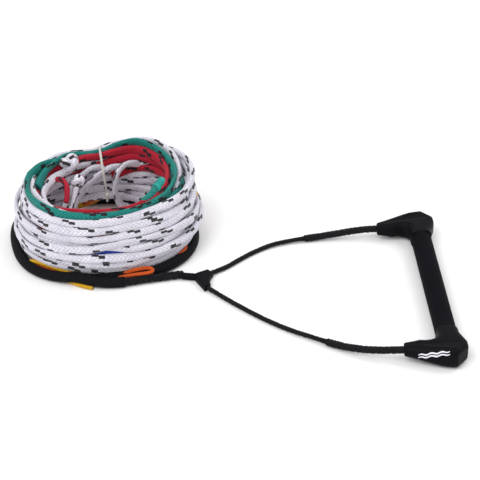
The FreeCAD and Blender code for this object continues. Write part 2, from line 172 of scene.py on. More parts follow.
@dataclass(frozen=True)
class RopeFinish:
    """Braided polyethylene rope: a diamond braid, soft fibres, painted shade in the braid's crevices and, on some,
    black flecks.

    The UV layer rope holds metres along the rope and the share of a turn around it.
    """

    name: str
    colour: tuple[float, float, float]
    # shade: the colour of the painted shade in the braid's crevices, also the dark end of the random mottle
    shade: tuple[float, float, float]
    carriers: int = 8
    lead: float = 0.046
    relief: float = 0.00045
    fleck: bool = False
    fleck_pitch: float = 0.031
    fleck_length: float = 0.56
    fleck_half: float = 0.064
    stairs: float = 1.9
    roughness: float = 0.62
    sheen: float = 0.25
    gloss: float = 0.35

    def braid(self, g: Graph, along: object, around: object) -> bpy.types.NodeSocket:
        """Returns the height, 0 to 1, of a two over two braid."""
        turn = g.math("MULTIPLY", along, 1.0 / self.lead)
        right = g.math("MULTIPLY", g.math("ADD", around, turn), self.carriers)
        left = g.math("MULTIPLY", g.math("SUBTRACT", around, turn), self.carriers)
        cells = g.math("ADD", g.math("FLOOR", right), g.math("FLOOR", left))
        on_top = g.math("LESS_THAN", g.math("PINGPONG", g.math("ADD", cells, 0.5), 2.0), 1.0)
        across_right = g.math("SINE", g.math("MULTIPLY", g.math("FRACT", right), math.pi))
        across_left = g.math("SINE", g.math("MULTIPLY", g.math("FRACT", left), math.pi))
        first = g.math("MULTIPLY", across_right, g.math("MULTIPLY_ADD", across_left, 0.35, 0.65))
        second = g.math("MULTIPLY", across_left, g.math("MULTIPLY_ADD", across_right, 0.35, 0.65))
        pick = g.node("ShaderNodeMix", data_type="FLOAT")
        for socket, value in ((0, on_top), (2, second), (3, first)):
            g.feed(pick.inputs[socket], value)
        return pick.outputs[0]

    def flecks(self, g: Graph, along: object, around: object, start: float,
               shift: float, keep: float) -> bpy.types.NodeSocket:
        """Returns a mask of stepped dark dashes that lean a little across the rope.

        Args:
            g: the material's graph.
            along: metres along the rope.
            around: share of a turn around it.
            start: offset of the row of dashes, in pitches.
            shift: offset of the row round the rope, in turns.
            keep: share of the dashes that show.

        Returns:
            1 on a dash and 0 elsewhere.
        """
        place = g.math("ADD", g.math("MULTIPLY", along, 1.0 / self.fleck_pitch), start)
        dice = g.node("ShaderNodeTexWhiteNoise", noise_dimensions="1D")
        g.feed(dice.inputs["W"], g.math("FLOOR", place))
        chance = dice.outputs["Value"]
        step = g.math("FRACT", place)
        stairs = g.math("FRACT", g.math("MULTIPLY", step, self.stairs / self.fleck_length))
        flat = 0.9 * self.fleck_length / self.stairs
        lean = g.math("MULTIPLY", g.math("SUBTRACT", step, g.math("MULTIPLY", stairs, flat)), 0.28)
        home = g.math("ADD", g.math("MULTIPLY", chance, 0.6), shift)
        off = g.math("SUBTRACT", g.math("SUBTRACT", around, home), lean)
        centred = g.math("ABSOLUTE", g.math("SUBTRACT", g.math("FRACT", off), 0.5))
        edge = g.math("MULTIPLY_ADD", g.noise(420.0, 2.0, 0.6), 0.02, self.fleck_half - 0.01)
        on_line = g.math("LESS_THAN", centred, edge)
        within = g.math("LESS_THAN", step, self.fleck_length)
        shown = g.math("LESS_THAN", g.math("FRACT", g.math("MULTIPLY", chance, 7.3)), keep)
        return g.math("MULTIPLY", g.math("MULTIPLY", on_line, within), shown)

    def build(self) -> bpy.types.Material:
        """Makes the material."""
        g = Graph(self.name, Roughness=self.roughness, Sheen_Weight=self.sheen, Sheen_Roughness=0.5,
                  Specular_IOR_Level=self.gloss)
        along, around, _ = g.coordinate("rope")
        height = self.braid(g, along, around)
        cloud = g.noise(38.0, 4.0)
        fibre = g.noise(900.0, 2.0, 0.7)
        worn = g.noise(260.0, 3.0, 0.65)
        # Painted shade: the colour goes towards shade where the braid's height is low, in its crevices; the worn
        # and cloud noise add random mottle
        crevice_shade_and_mottle = g.math("MULTIPLY_ADD", height, 0.4, g.math("MULTIPLY_ADD", worn, 0.55,
                                                          g.math("MULTIPLY", cloud, 0.35)))
        colour = g.blend(g.span(crevice_shade_and_mottle, 0.25, 0.95, 0.0, 1.0), rgba(self.shade), rgba(self.colour))
        if self.fleck:
            near_face = self.flecks(g, along, around, 0.0, 0.0, 0.92)
            far_face = self.flecks(g, along, around, 0.55, 0.5, 0.92)
            dark = g.math("MAXIMUM", near_face, far_face)
            colour = g.blend(dark, colour, rgba((0.012, 0.012, 0.014)))
        g.put("Base Color", colour)
        g.put("Roughness", g.span(g.math("ADD", cloud, height), 0.4, 1.6, self.roughness - 0.1,
                                  self.roughness + 0.12))
        g.relief(height, self.relief)
        g.relief(worn, self.relief * 0.8, 0.6)
        g.relief(fibre, 0.00022, 0.6)
        return g.material


@dataclass(frozen=True)
class MouldedFinish:
    """Moulded rubber or plastic with a fine grain and a slow, random colour drift."""

    name: str
    colour: tuple[float, float, float]
    roughness: float
    grain: float = 1400.0
    relief: float = 0.00006
    drift: float = 0.35
    metallic: float = 0.0
    transmission: float = 0.0
    gloss: float = 0.12

    def build(self) -> bpy.types.Material:
        """Makes the material."""
        g = Graph(self.name, Metallic=self.metallic, Transmission_Weight=self.transmission,
                  Specular_IOR_Level=self.gloss)
        cloud = g.noise(26.0, 5.0, 0.6)
        grain = g.noise(self.grain, 2.0, 0.6)
        mottle = g.math("MULTIPLY_ADD", grain, 0.4, g.math("MULTIPLY", cloud, 0.6))
        colour = g.blend(g.span(mottle, 0.3, 0.7, 0.0, 1.0), rgba(self.colour, 1.0 - self.drift),
                         rgba(self.colour, 1.0 + self.drift))
        g.put("Base Color", colour)
        g.put("Roughness", g.span(mottle, 0.3, 0.75, self.roughness - 0.07, self.roughness + 0.09))
        g.relief(grain, self.relief)
        g.relief(cloud, self.relief * 5.0, 0.4)
        return g.material


class Rope(Enum):
    """The rope finishes of the assembly."""

    # Each rope gives its colour, then its shade: a darker copy put in the braid's crevices as painted shade, and
    # the dark end of its random mottle
    WHITE = RopeFinish("white_rope", (0.78, 0.76, 0.83), (0.36, 0.34, 0.43), fleck=True)
    GREEN = RopeFinish("green_rope", (0.010, 0.235, 0.20), (0.003, 0.085, 0.08), fleck=True, sheen=0.05,
                       gloss=0.2)
    RED = RopeFinish("red_rope", (0.50, 0.012, 0.036), (0.20, 0.004, 0.012), fleck=True, sheen=0.05,
                     gloss=0.2)
    ORANGE = RopeFinish("orange_rope", (0.66, 0.10, 0.008), (0.30, 0.035, 0.004), sheen=0.05, gloss=0.2)
    YELLOW = RopeFinish("yellow_rope", (0.74, 0.42, 0.010), (0.40, 0.19, 0.005), sheen=0.05, gloss=0.2)
    BLUE = RopeFinish("blue_rope", (0.012, 0.05, 0.36), (0.004, 0.015, 0.13), sheen=0.05, gloss=0.2)
    BLACK = RopeFinish("black_rope", (0.007, 0.007, 0.009), (0.002, 0.002, 0.003), roughness=0.6,
                       sheen=0.02, gloss=0.08)
    FLOAT = RopeFinish("black_float_line", (0.007, 0.007, 0.009), (0.003, 0.003, 0.004), carriers=16,
                       lead=0.05, relief=0.00025, roughness=0.65, sheen=0.0, gloss=0.08)
    YARN = RopeFinish("black_yarn", (0.010, 0.010, 0.012), (0.003, 0.003, 0.004), roughness=0.55,
                      sheen=0.02, relief=0.0, gloss=0.12)


class Moulding(Enum):
    """The moulded and solid finishes of the handle."""

    GRIP = MouldedFinish("grip_rubber", (0.0055, 0.0055, 0.0075), 0.75, 900.0, 0.00016, gloss=0.03)
    CAP = MouldedFinish("cap_rubber", (0.0042, 0.0042, 0.006), 0.5, 1600.0, 0.00005, gloss=0.06)
    YOKE = MouldedFinish("yoke_rubber", (0.005, 0.005, 0.0065), 0.55, gloss=0.06)
    PLUG = MouldedFinish("plug_rubber", (0.04, 0.04, 0.04), 0.7)
    TUBE = MouldedFinish("aluminium_tube", (0.72, 0.73, 0.75), 0.32, drift=0.05, metallic=1.0, gloss=0.5)
    LINER = MouldedFinish("clear_liner", (0.75, 0.77, 0.78), 0.3, drift=0.05, transmission=0.5, gloss=0.5)
    PRINT = MouldedFinish("emblem_print", (0.78, 0.77, 0.84), 0.45, drift=0.08)
    TWINE = MouldedFinish("green_twine", (0.02, 0.34, 0.29), 0.5, 2600.0, 0.00008, gloss=0.3)
    TIE = MouldedFinish("cable_tie", (0.66, 0.65, 0.61), 0.28, drift=0.06, transmission=0.3, gloss=0.5)


MATERIALS: dict[str, bpy.types.Material] = {}


def finish_of(option: Rope | Moulding) -> bpy.types.Material:
    """Returns the material of a named finish, made once."""
    if option.value.name not in MATERIALS:
        MATERIALS[option.value.name] = option.value.build()
    return MATERIALS[option.value.name]


# --------------------------------------------------------------------------- curves and meshes


def spline_curve(name: str, points: np.ndarray, closed: bool = False) -> bpy.types.Object:
    """Makes a curve object of one smooth NURBS spline.

    Args:
        name: the object's name.
        points: its control points, in metres.
        closed: whether it joins up.

    Returns:
        The curve's object, linked to the scene.
    """
    data = bpy.data.curves.new(name, "CURVE")
    data.dimensions = "3D"
    data.resolution_u = 6
    spline = data.splines.new("NURBS")
    spline.points.add(len(points) - 1)
    flat = np.column_stack([points, np.ones(len(points))]).ravel()
    spline.points.foreach_set("co", flat)
    spline.order_u = 3
    spline.use_endpoint_u = True
    spline.use_cyclic_u = closed
    made = bpy.data.objects.new(name, data)
    bpy.context.collection.objects.link(made)
    return made


def spline_line(points: np.ndarray, spacing: float) -> np.ndarray:
    """Reads a route's NURBS spline as evenly spaced points.

    Args:
        points: the route's control points, in metres.
        spacing: distance between the points returned.

    Returns:
        The points along the smooth line.
    """
    made = spline_curve("route", np.asarray(points, float))
    line = bpy.data.meshes.new_from_object(made)
    raw = np.empty(len(line.vertices) * 3)
    line.vertices.foreach_get("co", raw)
    bpy.data.objects.remove(made)
    bpy.data.meshes.remove(line)
    return even(raw.reshape(-1, 3), spacing)


def even(line: np.ndarray, spacing: float) -> np.ndarray:
    """Spaces the points of a line evenly."""
    steps = np.linalg.norm(np.diff(line, axis=0), axis=1)
    run = np.concatenate([[0.0], np.cumsum(steps)])
    count = max(3, int(round(run[-1] / spacing)) + 1)
    at = np.linspace(0.0, run[-1], count)
    return np.column_stack([np.interp(at, run, line[:, k]) for k in range(3)])


def length_of(line: np.ndarray) -> float:
    """Returns the length of a line of points."""
    return float(np.linalg.norm(np.diff(line, axis=0), axis=1).sum())


def tangents(line: np.ndarray) -> np.ndarray:
    """Returns the unit direction at each point of a line."""
    way = np.gradient(line, axis=0)
    return way / np.linalg.norm(way, axis=1, keepdims=True)


def upright_frames(line: np.ndarray) -> tuple[np.ndarray, np.ndarray]:
    """Returns, at each point, the direction nearest to up and the one across it."""
    way = tangents(line)
    up = np.array([0.0, 0.0, 1.0]) - way[:, 2:3] * way
    up /= np.maximum(np.linalg.norm(up, axis=1, keepdims=True), 1e-9)
    return up, np.cross(way, up)


def carried_frames(line: np.ndarray) -> tuple[np.ndarray, np.ndarray]:
    """Returns frames that are carried along the line without twist."""
    way = tangents(line)
    up = np.cross(way[0], [0.0, 1.0, 0.0])
    if np.linalg.norm(up) < 0.1:
        up = np.cross(way[0], [1.0, 0.0, 0.0])
    ups = np.empty_like(line)
    for k, t in enumerate(way):
        up = up - t * (up @ t)
        up = up / np.linalg.norm(up)
        ups[k] = up
    return ups, np.cross(way, ups)


def mesh_object(name: str, vertices: np.ndarray, faces: np.ndarray | list,
                material: bpy.types.Material, smooth: bool = True) -> bpy.types.Object:
    """Makes a mesh object at the origin with one material."""
    data = bpy.data.meshes.new(name)
    data.from_pydata(np.asarray(vertices).tolist(), [], np.asarray(faces).tolist()
                     if isinstance(faces, np.ndarray) else faces)
    data.polygons.foreach_set("use_smooth", [smooth] * len(data.polygons))
    data.materials.append(material)
    made = bpy.data.objects.new(name, data)
    bpy.context.collection.objects.link(made)
    return made


def sweep(name: str, line: np.ndarray, wide: np.ndarray | float, thick: np.ndarray | float,
          material: bpy.types.Material, sides: int = 14, twist: np.ndarray | float = 0.0,
          carried: bool = False, start: float = 0.0, square: float = 0.85) -> bpy.types.Object:
    """Sweeps a flattened round section along a line, with rounded closed ends.

    Args:
        name: the object's name.
        line: the points that it follows.
        wide: half its width, upright unless twisted, one value or one for each point.
        thick: half its thickness, in the same way.
        material: its finish.
        sides: faces round the section.
        twist: turn of the section about the line, in radians.
        carried: whether the section is carried without twist, for lines that stand up.
        start: metres along the rope at the first point, for the braid.
        square: below 1 the section is fuller than an ellipse.

    Returns:
        The tube, with its UV layer rope.
    """
    n = len(line)
    up, across = carried_frames(line) if carried else upright_frames(line)
    wide, thick, twist = (np.broadcast_to(np.asarray(v, float), n).copy() for v in (wide, thick, twist))
    angle = np.linspace(0, 2 * math.pi, sides, endpoint=False)
    full_cos = np.sign(np.cos(angle)) * np.abs(np.cos(angle)) ** square
    full_sin = np.sign(np.sin(angle)) * np.abs(np.sin(angle)) ** square
    a = wide[:, None] * full_cos
    b = thick[:, None] * full_sin
    ct, st = np.cos(twist)[:, None], np.sin(twist)[:, None]
    rings = (line[:, None, :] + (a * ct - b * st)[..., None] * up[:, None, :]
             + (a * st + b * ct)[..., None] * across[:, None, :])
    way = tangents(line)
    caps = []
    for k, sign in ((0, -1), (n - 1, 1)):
        centre = line[k] + sign * way[k] * thick[k] * 0.35
        caps.append(line[k] + (rings[k] - line[k]) * 0.6 + sign * way[k] * thick[k] * 0.28)
        caps.append(centre[None, :])
    vertices = np.vstack([rings.reshape(-1, 3), caps[0], caps[2], caps[1], caps[3]])
    i, j = np.meshgrid(np.arange(n - 1), np.arange(sides), indexing="ij")
    j2 = (j + 1) % sides
    body = np.stack([i * sides + j, i * sides + j2, (i + 1) * sides + j2, (i + 1) * sides + j], -1)
    body = body.reshape(-1, 4)[:, ::-1]
    head, tail = n * sides, (n + 1) * sides
    tips = (n + 2) * sides
    ends, k = [], np.arange(sides)
    k2 = (k + 1) % sides
    faces = body.tolist()
    uv_rows = [(i.ravel(), j.ravel())]
    for a0, b0, flip in ((0, head, True), ((n - 1) * sides, tail, False)):
        quad = np.stack([a0 + k, a0 + k2, b0 + k2, b0 + k], -1)
        ends += (quad if flip else quad[:, ::-1]).tolist()
    fans = [np.stack([head + k, head + k2, np.full(sides, tips)], -1),
            np.stack([tail + k2, tail + k, np.full(sides, tips + 1)], -1)]
    faces += ends + [t for fan in fans for t in fan.tolist()]
    made = mesh_object(name, vertices, faces, material)
    steps = np.linalg.norm(np.diff(line, axis=0), axis=1)
    run = start + np.concatenate([[0.0], np.cumsum(steps)])
    layer = made.data.uv_layers.new(name="rope")
    uv = np.zeros((len(made.data.loops), 2))
    ii, jj = uv_rows[0]
    corners = np.stack([np.stack([run[ii], jj / sides], -1), np.stack([run[ii], (jj + 1) / sides], -1),
                        np.stack([run[ii + 1], (jj + 1) / sides], -1),
                        np.stack([run[ii + 1], jj / sides], -1)], 1)[:, ::-1]
    uv[:len(body) * 4] = corners.reshape(-1, 2)
    layer.data.foreach_set("uv", uv.ravel())
    return made


def mend_normals(piece: bpy.types.Object) -> None:
    """Turns every face of a closed mesh outwards."""
    held = bmesh.new()
    held.from_mesh(piece.data)
    bmesh.ops.recalc_face_normals(held, faces=held.faces)
    held.to_mesh(piece.data)
    held.free()


def apply_modifiers(piece: bpy.types.Object) -> None:
    """Turns a piece with modifiers into the plain mesh that they make."""
    held = bpy.context.evaluated_depsgraph_get()
    data = bpy.data.meshes.new_from_object(piece.evaluated_get(held))
    piece.modifiers.clear()
    piece.data = data


def soften(piece: bpy.types.Object, width: float, segments: int) -> None:
    """Rounds the sharp edges of a piece."""
    bevel = piece.modifiers.new("rounded", "BEVEL")
    bevel.width, bevel.segments, bevel.limit_method = width, segments, "ANGLE"
    apply_modifiers(piece)
    piece.data.polygons.foreach_set("use_smooth", [True] * len(piece.data.polygons))


def matrix_of(turn: np.ndarray) -> Matrix:
    """Returns a 4 by 4 matrix from a 3 by 3 array."""
    return Matrix(turn.tolist()).to_4x4()


def wander(count: int, step: float, wavelength: float, seed: int) -> np.ndarray:
    """Returns smooth seeded noise between about -1 and 1 along a line.

    Args:
        count: how many values.
        step: metres between them.
        wavelength: metres from one random value to the next.
        seed: seed of the random values.

    Returns:
        The values.
    """
    dice = np.random.default_rng(seed)
    knots = max(4, int(count * step / wavelength) + 3)
    values = dice.uniform(-1, 1, knots)
    at = np.linspace(0, knots - 1.001, count)
    low = at.astype(int)
    share = at - low
    ease = share * share * (3 - 2 * share)
    return values[low] * (1 - ease) + values[low + 1] * ease


# --------------------------------------------------------------------------- geometry nodes


class NodeTree:
    """A Geometry Nodes tree with named inputs, built node by node."""

    def __init__(self, name: str, inputs: dict[str, str]) -> None:
        """Starts the tree.

        Args:
            name: the tree's name.
            inputs: the socket type of each named input after the geometry.
        """
        self.tree = bpy.data.node_groups.new(name, "GeometryNodeTree")
        faces = self.tree.interface
        faces.new_socket("Geometry", in_out="INPUT", socket_type="NodeSocketGeometry")
        faces.new_socket("Geometry", in_out="OUTPUT", socket_type="NodeSocketGeometry")
        for label, kind in inputs.items():
            faces.new_socket(label, in_out="INPUT", socket_type=kind)
        self.given = self.tree.nodes.new("NodeGroupInput")
        self.result = self.tree.nodes.new("NodeGroupOutput")

    def node(self, kind: str, *values: object, **settings: object) -> bpy.types.Node:
        """Adds a node, sets its properties and feeds its inputs in order, skipping None."""
        made = self.tree.nodes.new(kind)
        for key, value in settings.items():
            setattr(made, key, value)
        for socket, value in zip(made.inputs, values):
            if isinstance(value, bpy.types.NodeSocket):
                self.tree.links.new(value, socket)
            elif value is not None:
                socket.default_value = value
        return made

    def math(self, operation: str, *values: object) -> bpy.types.NodeSocket:
        """Adds a Math node and returns its result."""
        return self.node("ShaderNodeMath", *values, operation=operation).outputs[0]

    def finish(self, geometry: bpy.types.NodeSocket) -> None:
        """Ends the tree in Realize Instances and Set Material."""
        real = self.node("GeometryNodeRealizeInstances", geometry)
        smooth = self.node("GeometryNodeSetShadeSmooth", real.outputs[0])
        dressed = self.node("GeometryNodeSetMaterial", smooth.outputs[0])
        self.tree.links.new(self.given.outputs["Material"], dressed.inputs["Material"])
        self.tree.links.new(dressed.outputs[0], self.result.inputs[0])

    def run(self, name: str, base: bpy.types.Object, values: dict[str, object]) -> bpy.types.Object:
        """Runs the tree on an object and returns the plain mesh that it makes.

        Args:
            name: the new object's name.
            base: the object that the tree works on, which is removed.
            values: the value of each named input.

        Returns:
            The new mesh object, at the origin.
        """
        modifier = base.modifiers.new("tree", "NODES")
        modifier.node_group = self.tree
        names = {item.name: item.identifier for item in self.tree.interface.items_tree
                 if item.in_out == "INPUT"}
        for label, value in values.items():
            modifier[names[label]] = value
        held = bpy.context.evaluated_depsgraph_get()
        data = bpy.data.meshes.new_from_object(base.evaluated_get(held))
        data.name = name
        made = bpy.data.objects.new(name, data)
        bpy.context.collection.objects.link(made)
        bpy.data.objects.remove(base)
        return made


def braid_tree() -> NodeTree:
    """Builds the tree that lays two sets of crossing strands round a curve."""
    t = NodeTree("braid_strands", {"Radius": "NodeSocketFloat", "Strand": "NodeSocketFloat",
                                   "Lead": "NodeSocketFloat", "Carriers": "NodeSocketInt",
                                   "Weave": "NodeSocketFloat", "Material": "NodeSocketMaterial"})
    radius, strand, lead, carriers, weave = (t.given.outputs[k] for k in
                                             ("Radius", "Strand", "Lead", "Carriers", "Weave"))
    count = t.math("MULTIPLY", carriers, 2.0)
    copies = t.node("GeometryNodeDuplicateElements", t.given.outputs[0], None, count, domain="SPLINE")
    number = copies.outputs["Duplicate Index"]
    held = t.node("GeometryNodeCaptureAttribute", domain="CURVE")
    held.capture_items.new("INT", "Number")
    t.tree.links.new(copies.outputs[0], held.inputs[0])
    t.tree.links.new(number, held.inputs[1])
    number = held.outputs[1]
    run = t.node("GeometryNodeSplineParameter").outputs["Length"]
    turns = t.math("DIVIDE", run, lead)
    side = t.math("SUBTRACT", t.math("MULTIPLY", t.math("MODULO", number, 2.0), 2.0), 1.0)
    place = t.math("DIVIDE", t.math("FLOOR", t.math("DIVIDE", number, 2.0)), carriers)
    angle = t.math("MULTIPLY", t.math("MULTIPLY_ADD", turns, side, place), 2 * math.pi)
    wave_turns = t.math("MULTIPLY", t.math("MULTIPLY", turns, carriers), 2 * math.pi)
    row = t.math("MULTIPLY", place, math.pi)
    wave = t.math("SINE", t.math("ADD", wave_turns, row))
    out = t.math("MULTIPLY_ADD", t.math("MULTIPLY", wave, side), weave, radius)
    normal = t.node("GeometryNodeInputNormal").outputs[0]
    way = t.node("GeometryNodeInputTangent").outputs[0]
    across = t.node("ShaderNodeVectorMath", way, normal, operation="CROSS_PRODUCT").outputs[0]
    first = t.node("ShaderNodeVectorMath", normal, operation="SCALE")
    second = t.node("ShaderNodeVectorMath", across, operation="SCALE")
    t.tree.links.new(t.math("MULTIPLY", t.math("COSINE", angle), out), first.inputs["Scale"])
    t.tree.links.new(t.math("MULTIPLY", t.math("SINE", angle), out), second.inputs["Scale"])
    offset = t.node("ShaderNodeVectorMath", first.outputs[0], second.outputs[0], operation="ADD").outputs[0]
    moved = t.node("GeometryNodeSetPosition", held.outputs[0])
    t.tree.links.new(offset, moved.inputs["Offset"])
    profile = t.node("GeometryNodeCurvePrimitiveCircle", 6)
    t.tree.links.new(strand, profile.inputs["Radius"])
    tube = t.node("GeometryNodeCurveToMesh", moved.outputs[0], profile.outputs[0])
    tube.inputs["Fill Caps"].default_value = True
    t.finish(tube.outputs[0])
    return t


def row_tree() -> NodeTree:
    """Builds the tree that repeats a piece at each point of a mesh line."""
    t = NodeTree("row_of_pieces", {"Piece": "NodeSocketObject", "Size Spread": "NodeSocketFloat",
                                   "Seed": "NodeSocketInt", "Material": "NodeSocketMaterial"})
    points = t.node("GeometryNodeMeshToPoints", t.given.outputs[0])
    piece = t.node("GeometryNodeObjectInfo", t.given.outputs["Piece"])
    spread = t.given.outputs["Size Spread"]
    dice = t.node("FunctionNodeRandomValue", data_type="FLOAT")
    t.tree.links.new(t.math("SUBTRACT", 1.0, spread), dice.inputs[2])
    t.tree.links.new(t.math("ADD", 1.0, spread), dice.inputs[3])
    t.tree.links.new(t.given.outputs["Seed"], dice.inputs["Seed"])
    stamps = t.node("GeometryNodeInstanceOnPoints", points.outputs[0])
    t.tree.links.new(piece.outputs["Geometry"], stamps.inputs["Instance"])
    t.tree.links.new(dice.outputs[1], stamps.inputs["Scale"])
    t.finish(stamps.outputs[0])
    return t


def poly_curve(name: str, line: np.ndarray) -> bpy.types.Object:
    """Makes a curve object that follows points read from a route's smooth line."""
    data = bpy.data.curves.new(name, "CURVE")
    data.dimensions = "3D"
    spline = data.splines.new("POLY")
    spline.points.add(len(line) - 1)
    spline.points.foreach_set("co", np.column_stack([line, np.ones(len(line))]).ravel())
    made = bpy.data.objects.new(name, data)
    bpy.context.collection.objects.link(made)
    return made


# --------------------------------------------------------------------------- wound rope


def periodic(values: tuple[float, ...], angle: np.ndarray) -> np.ndarray:
    """Reads evenly spaced values round a circle as a smooth curve.

    Args:
        values: the values, from angle 0 on.
        angle: where to read them, in radians.

    Returns:
        The smooth values.
    """
    waves = np.fft.rfft(np.asarray(values, float)) / len(values)
    out = np.full_like(angle, waves[0].real)
    for k in range(1, len(waves)):
        share = 1.0 if 2 * k == len(values) else 2.0
        out += share * (waves[k].real * np.cos(k * angle) - waves[k].imag * np.sin(k * angle))
    return out


@dataclass(frozen=True)
class Section:
    """One rope in the coil: its finish, its length and the part of the bundle that it fills.

    depth is its share of the way in from the outside, every 45 degrees from +X towards +Y;
    spread is how far its turns stray from that; height is its first and last share, and dip is
    how many millimetres it lies lower, every 45 degrees. buried is the share of its length that
    starts in the middle of the bundle, end_drop is how far its last turn sinks, in millimetres, and fullness widens its rope.
    """

    name: str
    finish: Rope
    length: float
    depth: tuple[float, ...]
    spread: float
    height: tuple[float, float]
    nodes: tuple[str, ...]
    seed: int = 0
    dip: tuple[float, ...] = (0.0,) * 8
    buried: float = 0.0
    end_drop: float = 0.0
    fullness: float = 1.0


@dataclass
class WoundRope:
    """The wound ski rope: turns laid by a loop, then pressed into each other and the tie.

    The sizes round the coil are in millimetres, evenly spaced from +X towards +Y.
    """

    centre: tuple[float, float] = (-405.0, 155.0)
    radii: tuple[float, ...] = (133, 135, 137, 139, 106, 100, 112, 129, 138, 137, 127, 115, 109, 109, 116,
                                128)
    wall: tuple[float, ...] = (46, 48, 42, 34, 33, 28, 26, 36)
    lean: tuple[float, ...] = (11, 2, 4, 14, 27, 14, 5, 14)
    skirt: tuple[float, ...] = (14, 8, 2, 8, 16, 22, 12, 18)
    belly: tuple[float, ...] = (18, 3, 0, 0, 2, 0, 0, 3)
    top: tuple[float, ...] = (98, 112, 98, 97, 97, 95, 94, 95)
    tie_angle: float = 98.0
    tie_reach: float = 15.0
    arch_angle: float = 90.0
    arch_reach: float = 12.0
    arch_lift: float = 25.0
    half_wide: float = 6.0
    half_thick: float = 3.4
    spacing: float = 5.0
    smooth_over: int = 3
    sections: tuple[Section, ...] = (
        Section("yellow_section", Rope.YELLOW, 1.25, (0.4, 0.3, 0.2, 0.2, 0.25, 0.4, 0.5, 0.45), 0.1,
                (0.0, 0.02), ("yellow_section",), 3),
        Section("orange_section", Rope.ORANGE, 1.75, (0.35, 0.25, 0.1, 0.15, 0.25, 0.5, 0.5, 0.4), 0.12,
                (0.0, 0.05), ("orange_section",), 5),
        Section("white_lower", Rope.WHITE, 7.0, (0.5,) * 8, 0.55, (0.0, 0.47), ("white_lower_coil",), 7),
        Section("blue_section", Rope.BLUE, 0.75, (0.55, 0.4, 0.3, 0.38, 0.45, 0.36, 0.44, 0.6), 0.0,
                (0.43, 0.46), ("blue_section",), 9),
        Section("white_upper", Rope.WHITE, 6.75, (0.42, 0.3, 0.44, 0.5, 0.5, 0.5, 0.5, 0.45), 0.55,
                (0.47, 0.98), ("white_upper_coil",), 11, (0, 1, 5, 5, 5, 5, 5, 4)),
        Section("green_section", Rope.GREEN, 1.0, (0.8, 0.82, 0.2, 0.12, 0.0, 0.02, 0.05, 0.4), 0.03,
                (0.98, 1.0), ("green_section",), 13, (2, 16, 1, 0, 0, 0, 0, 0), 0.3, 0.0, 1.3),
        Section("red_section", Rope.RED, 2.21, (0.95, 1.0, 0.6, 0.5, 0.42, 0.65, 1.0, 1.0), 0.06,
                (1.0, 0.93), ("red_section",), 15, (5, 20, 7, 7, 14, 15, 11, 9), 0.48, 20.0),
    )

    def surroundings(self, angle: np.ndarray) -> tuple[np.ndarray, ...]:
        """Returns, round the coil, its outside, wall, lean, skirt, belly, lowest and highest line."""
        away = (angle - math.radians(self.tie_angle) + math.pi) % (2 * math.pi) - math.pi
        pinch = np.exp(-(away / math.radians(self.tie_reach)) ** 2)
        from_arch = (angle - math.radians(self.arch_angle) + math.pi) % (2 * math.pi) - math.pi
        arch = np.exp(-(from_arch / math.radians(self.arch_reach)) ** 2)
        return (periodic(self.radii, angle) - 4.0 * pinch, periodic(self.wall, angle),
                periodic(self.lean, angle), periodic(self.skirt, angle), periodic(self.belly, angle),
                6.4 + self.arch_lift * arch, periodic(self.top, angle) - 6.0 * pinch)

    def face(self, outside: np.ndarray, lean: np.ndarray, skirt: np.ndarray, belly: np.ndarray,
             z: np.ndarray) -> np.ndarray:
        """Returns the radius of the outermost rope line at a height."""
        share = np.clip(z / 95.0, 0, 1)
        drawn_in = np.clip((45.0 - z) / 45.0, 0, 1) ** 1.6 * skirt
        swell = belly * (np.exp(-((z - 40.0) / 14.0) ** 2) - 0.7 * np.exp(-((z - 65.0) / 9.0) ** 2))
        return (outside + swell - self.half_thick - lean * np.clip((share - 0.35) / 0.65, 0, 1) ** 1.8
                - drawn_in)

    def lay(self) -> tuple[np.ndarray, np.ndarray]:
        """Lays every turn in its own place in the bundle.

        Returns:
            The line's points in mm, and the number of the section that each belongs to.
        """
        dice = np.random.default_rng(21)
        angle = math.radians(205)
        points, owner = [], []
        for number, part in enumerate(self.sections):
            count = int(part.length / MM / self.spacing)
            turns = int(part.length / 0.66) + 4
            order = np.arange(turns)
            rows = np.linspace(part.height[0], part.height[1], turns - 2).tolist() + [part.height[1]] * 2
            rows = np.array(rows) + dice.uniform(-0.02, 0.02, turns)
            columns = part.spread * (2 * ((order * 0.618 + 0.2) % 1.0) - 1)
            waves = dice.uniform(-1, 1, (turns, 2, 3))
            begun = angle
            for place in range(count):
                turn = (angle - begun) / (2 * math.pi)
                shown = np.clip((place / count - part.buried) / 0.12 + 0.5, 0, 1) if part.buried else 1.0
                last = np.clip(1 - (count - place) * self.spacing / 130.0, 0, 1)
                k = int(turn)
                ease = np.clip((turn - k - 0.5) / 0.5, 0, 1)
                ease = ease * ease * (3 - 2 * ease)
                mixed = waves[k] * (1 - ease) + waves[k + 1] * ease
                swell = [sum(w * math.sin((m + 1) * angle + 6.3 * m * m) / (m + 1)
                             for m, w in enumerate(row)) for row in mixed]
                here = np.array([angle])
                home = float(periodic(part.depth, here)[0])
                v = rows[k] * (1 - ease) + rows[k + 1] * ease + 0.03 * swell[0]
                u = home + columns[k] * (1 - ease) + columns[k + 1] * ease + 0.3 * part.spread * swell[1]
                outside, wall, lean, skirt, belly, low, high = (float(x[0])
                                                                for x in self.surroundings(here))
                u, v = 0.55 + (u - 0.55) * shown, 0.78 + (v - 0.78) * shown
                near_end = min(place if number else count, count - place if number < 6 else count)
                tucked = np.clip(1 - near_end * self.spacing / 150.0, 0, 1)
                u += (0.65 - u) * tucked * tucked * (3 - 2 * tucked)
                z = low + float(np.clip(v, 0, 1)) * (high - low) - float(periodic(part.dip, here)[0])
                z -= part.end_drop * last * last * (3 - 2 * last)
                r = float(self.face(outside, lean, skirt, belly, z)) \
                    - float(np.clip(u, 0, 1)) * (wall - 2 * self.half_thick)
                points.append((self.centre[0] + r * math.cos(angle), self.centre[1] + r * math.sin(angle), z))
                owner.append(number)
                angle += self.spacing / r
        return np.array(points), np.array(owner)

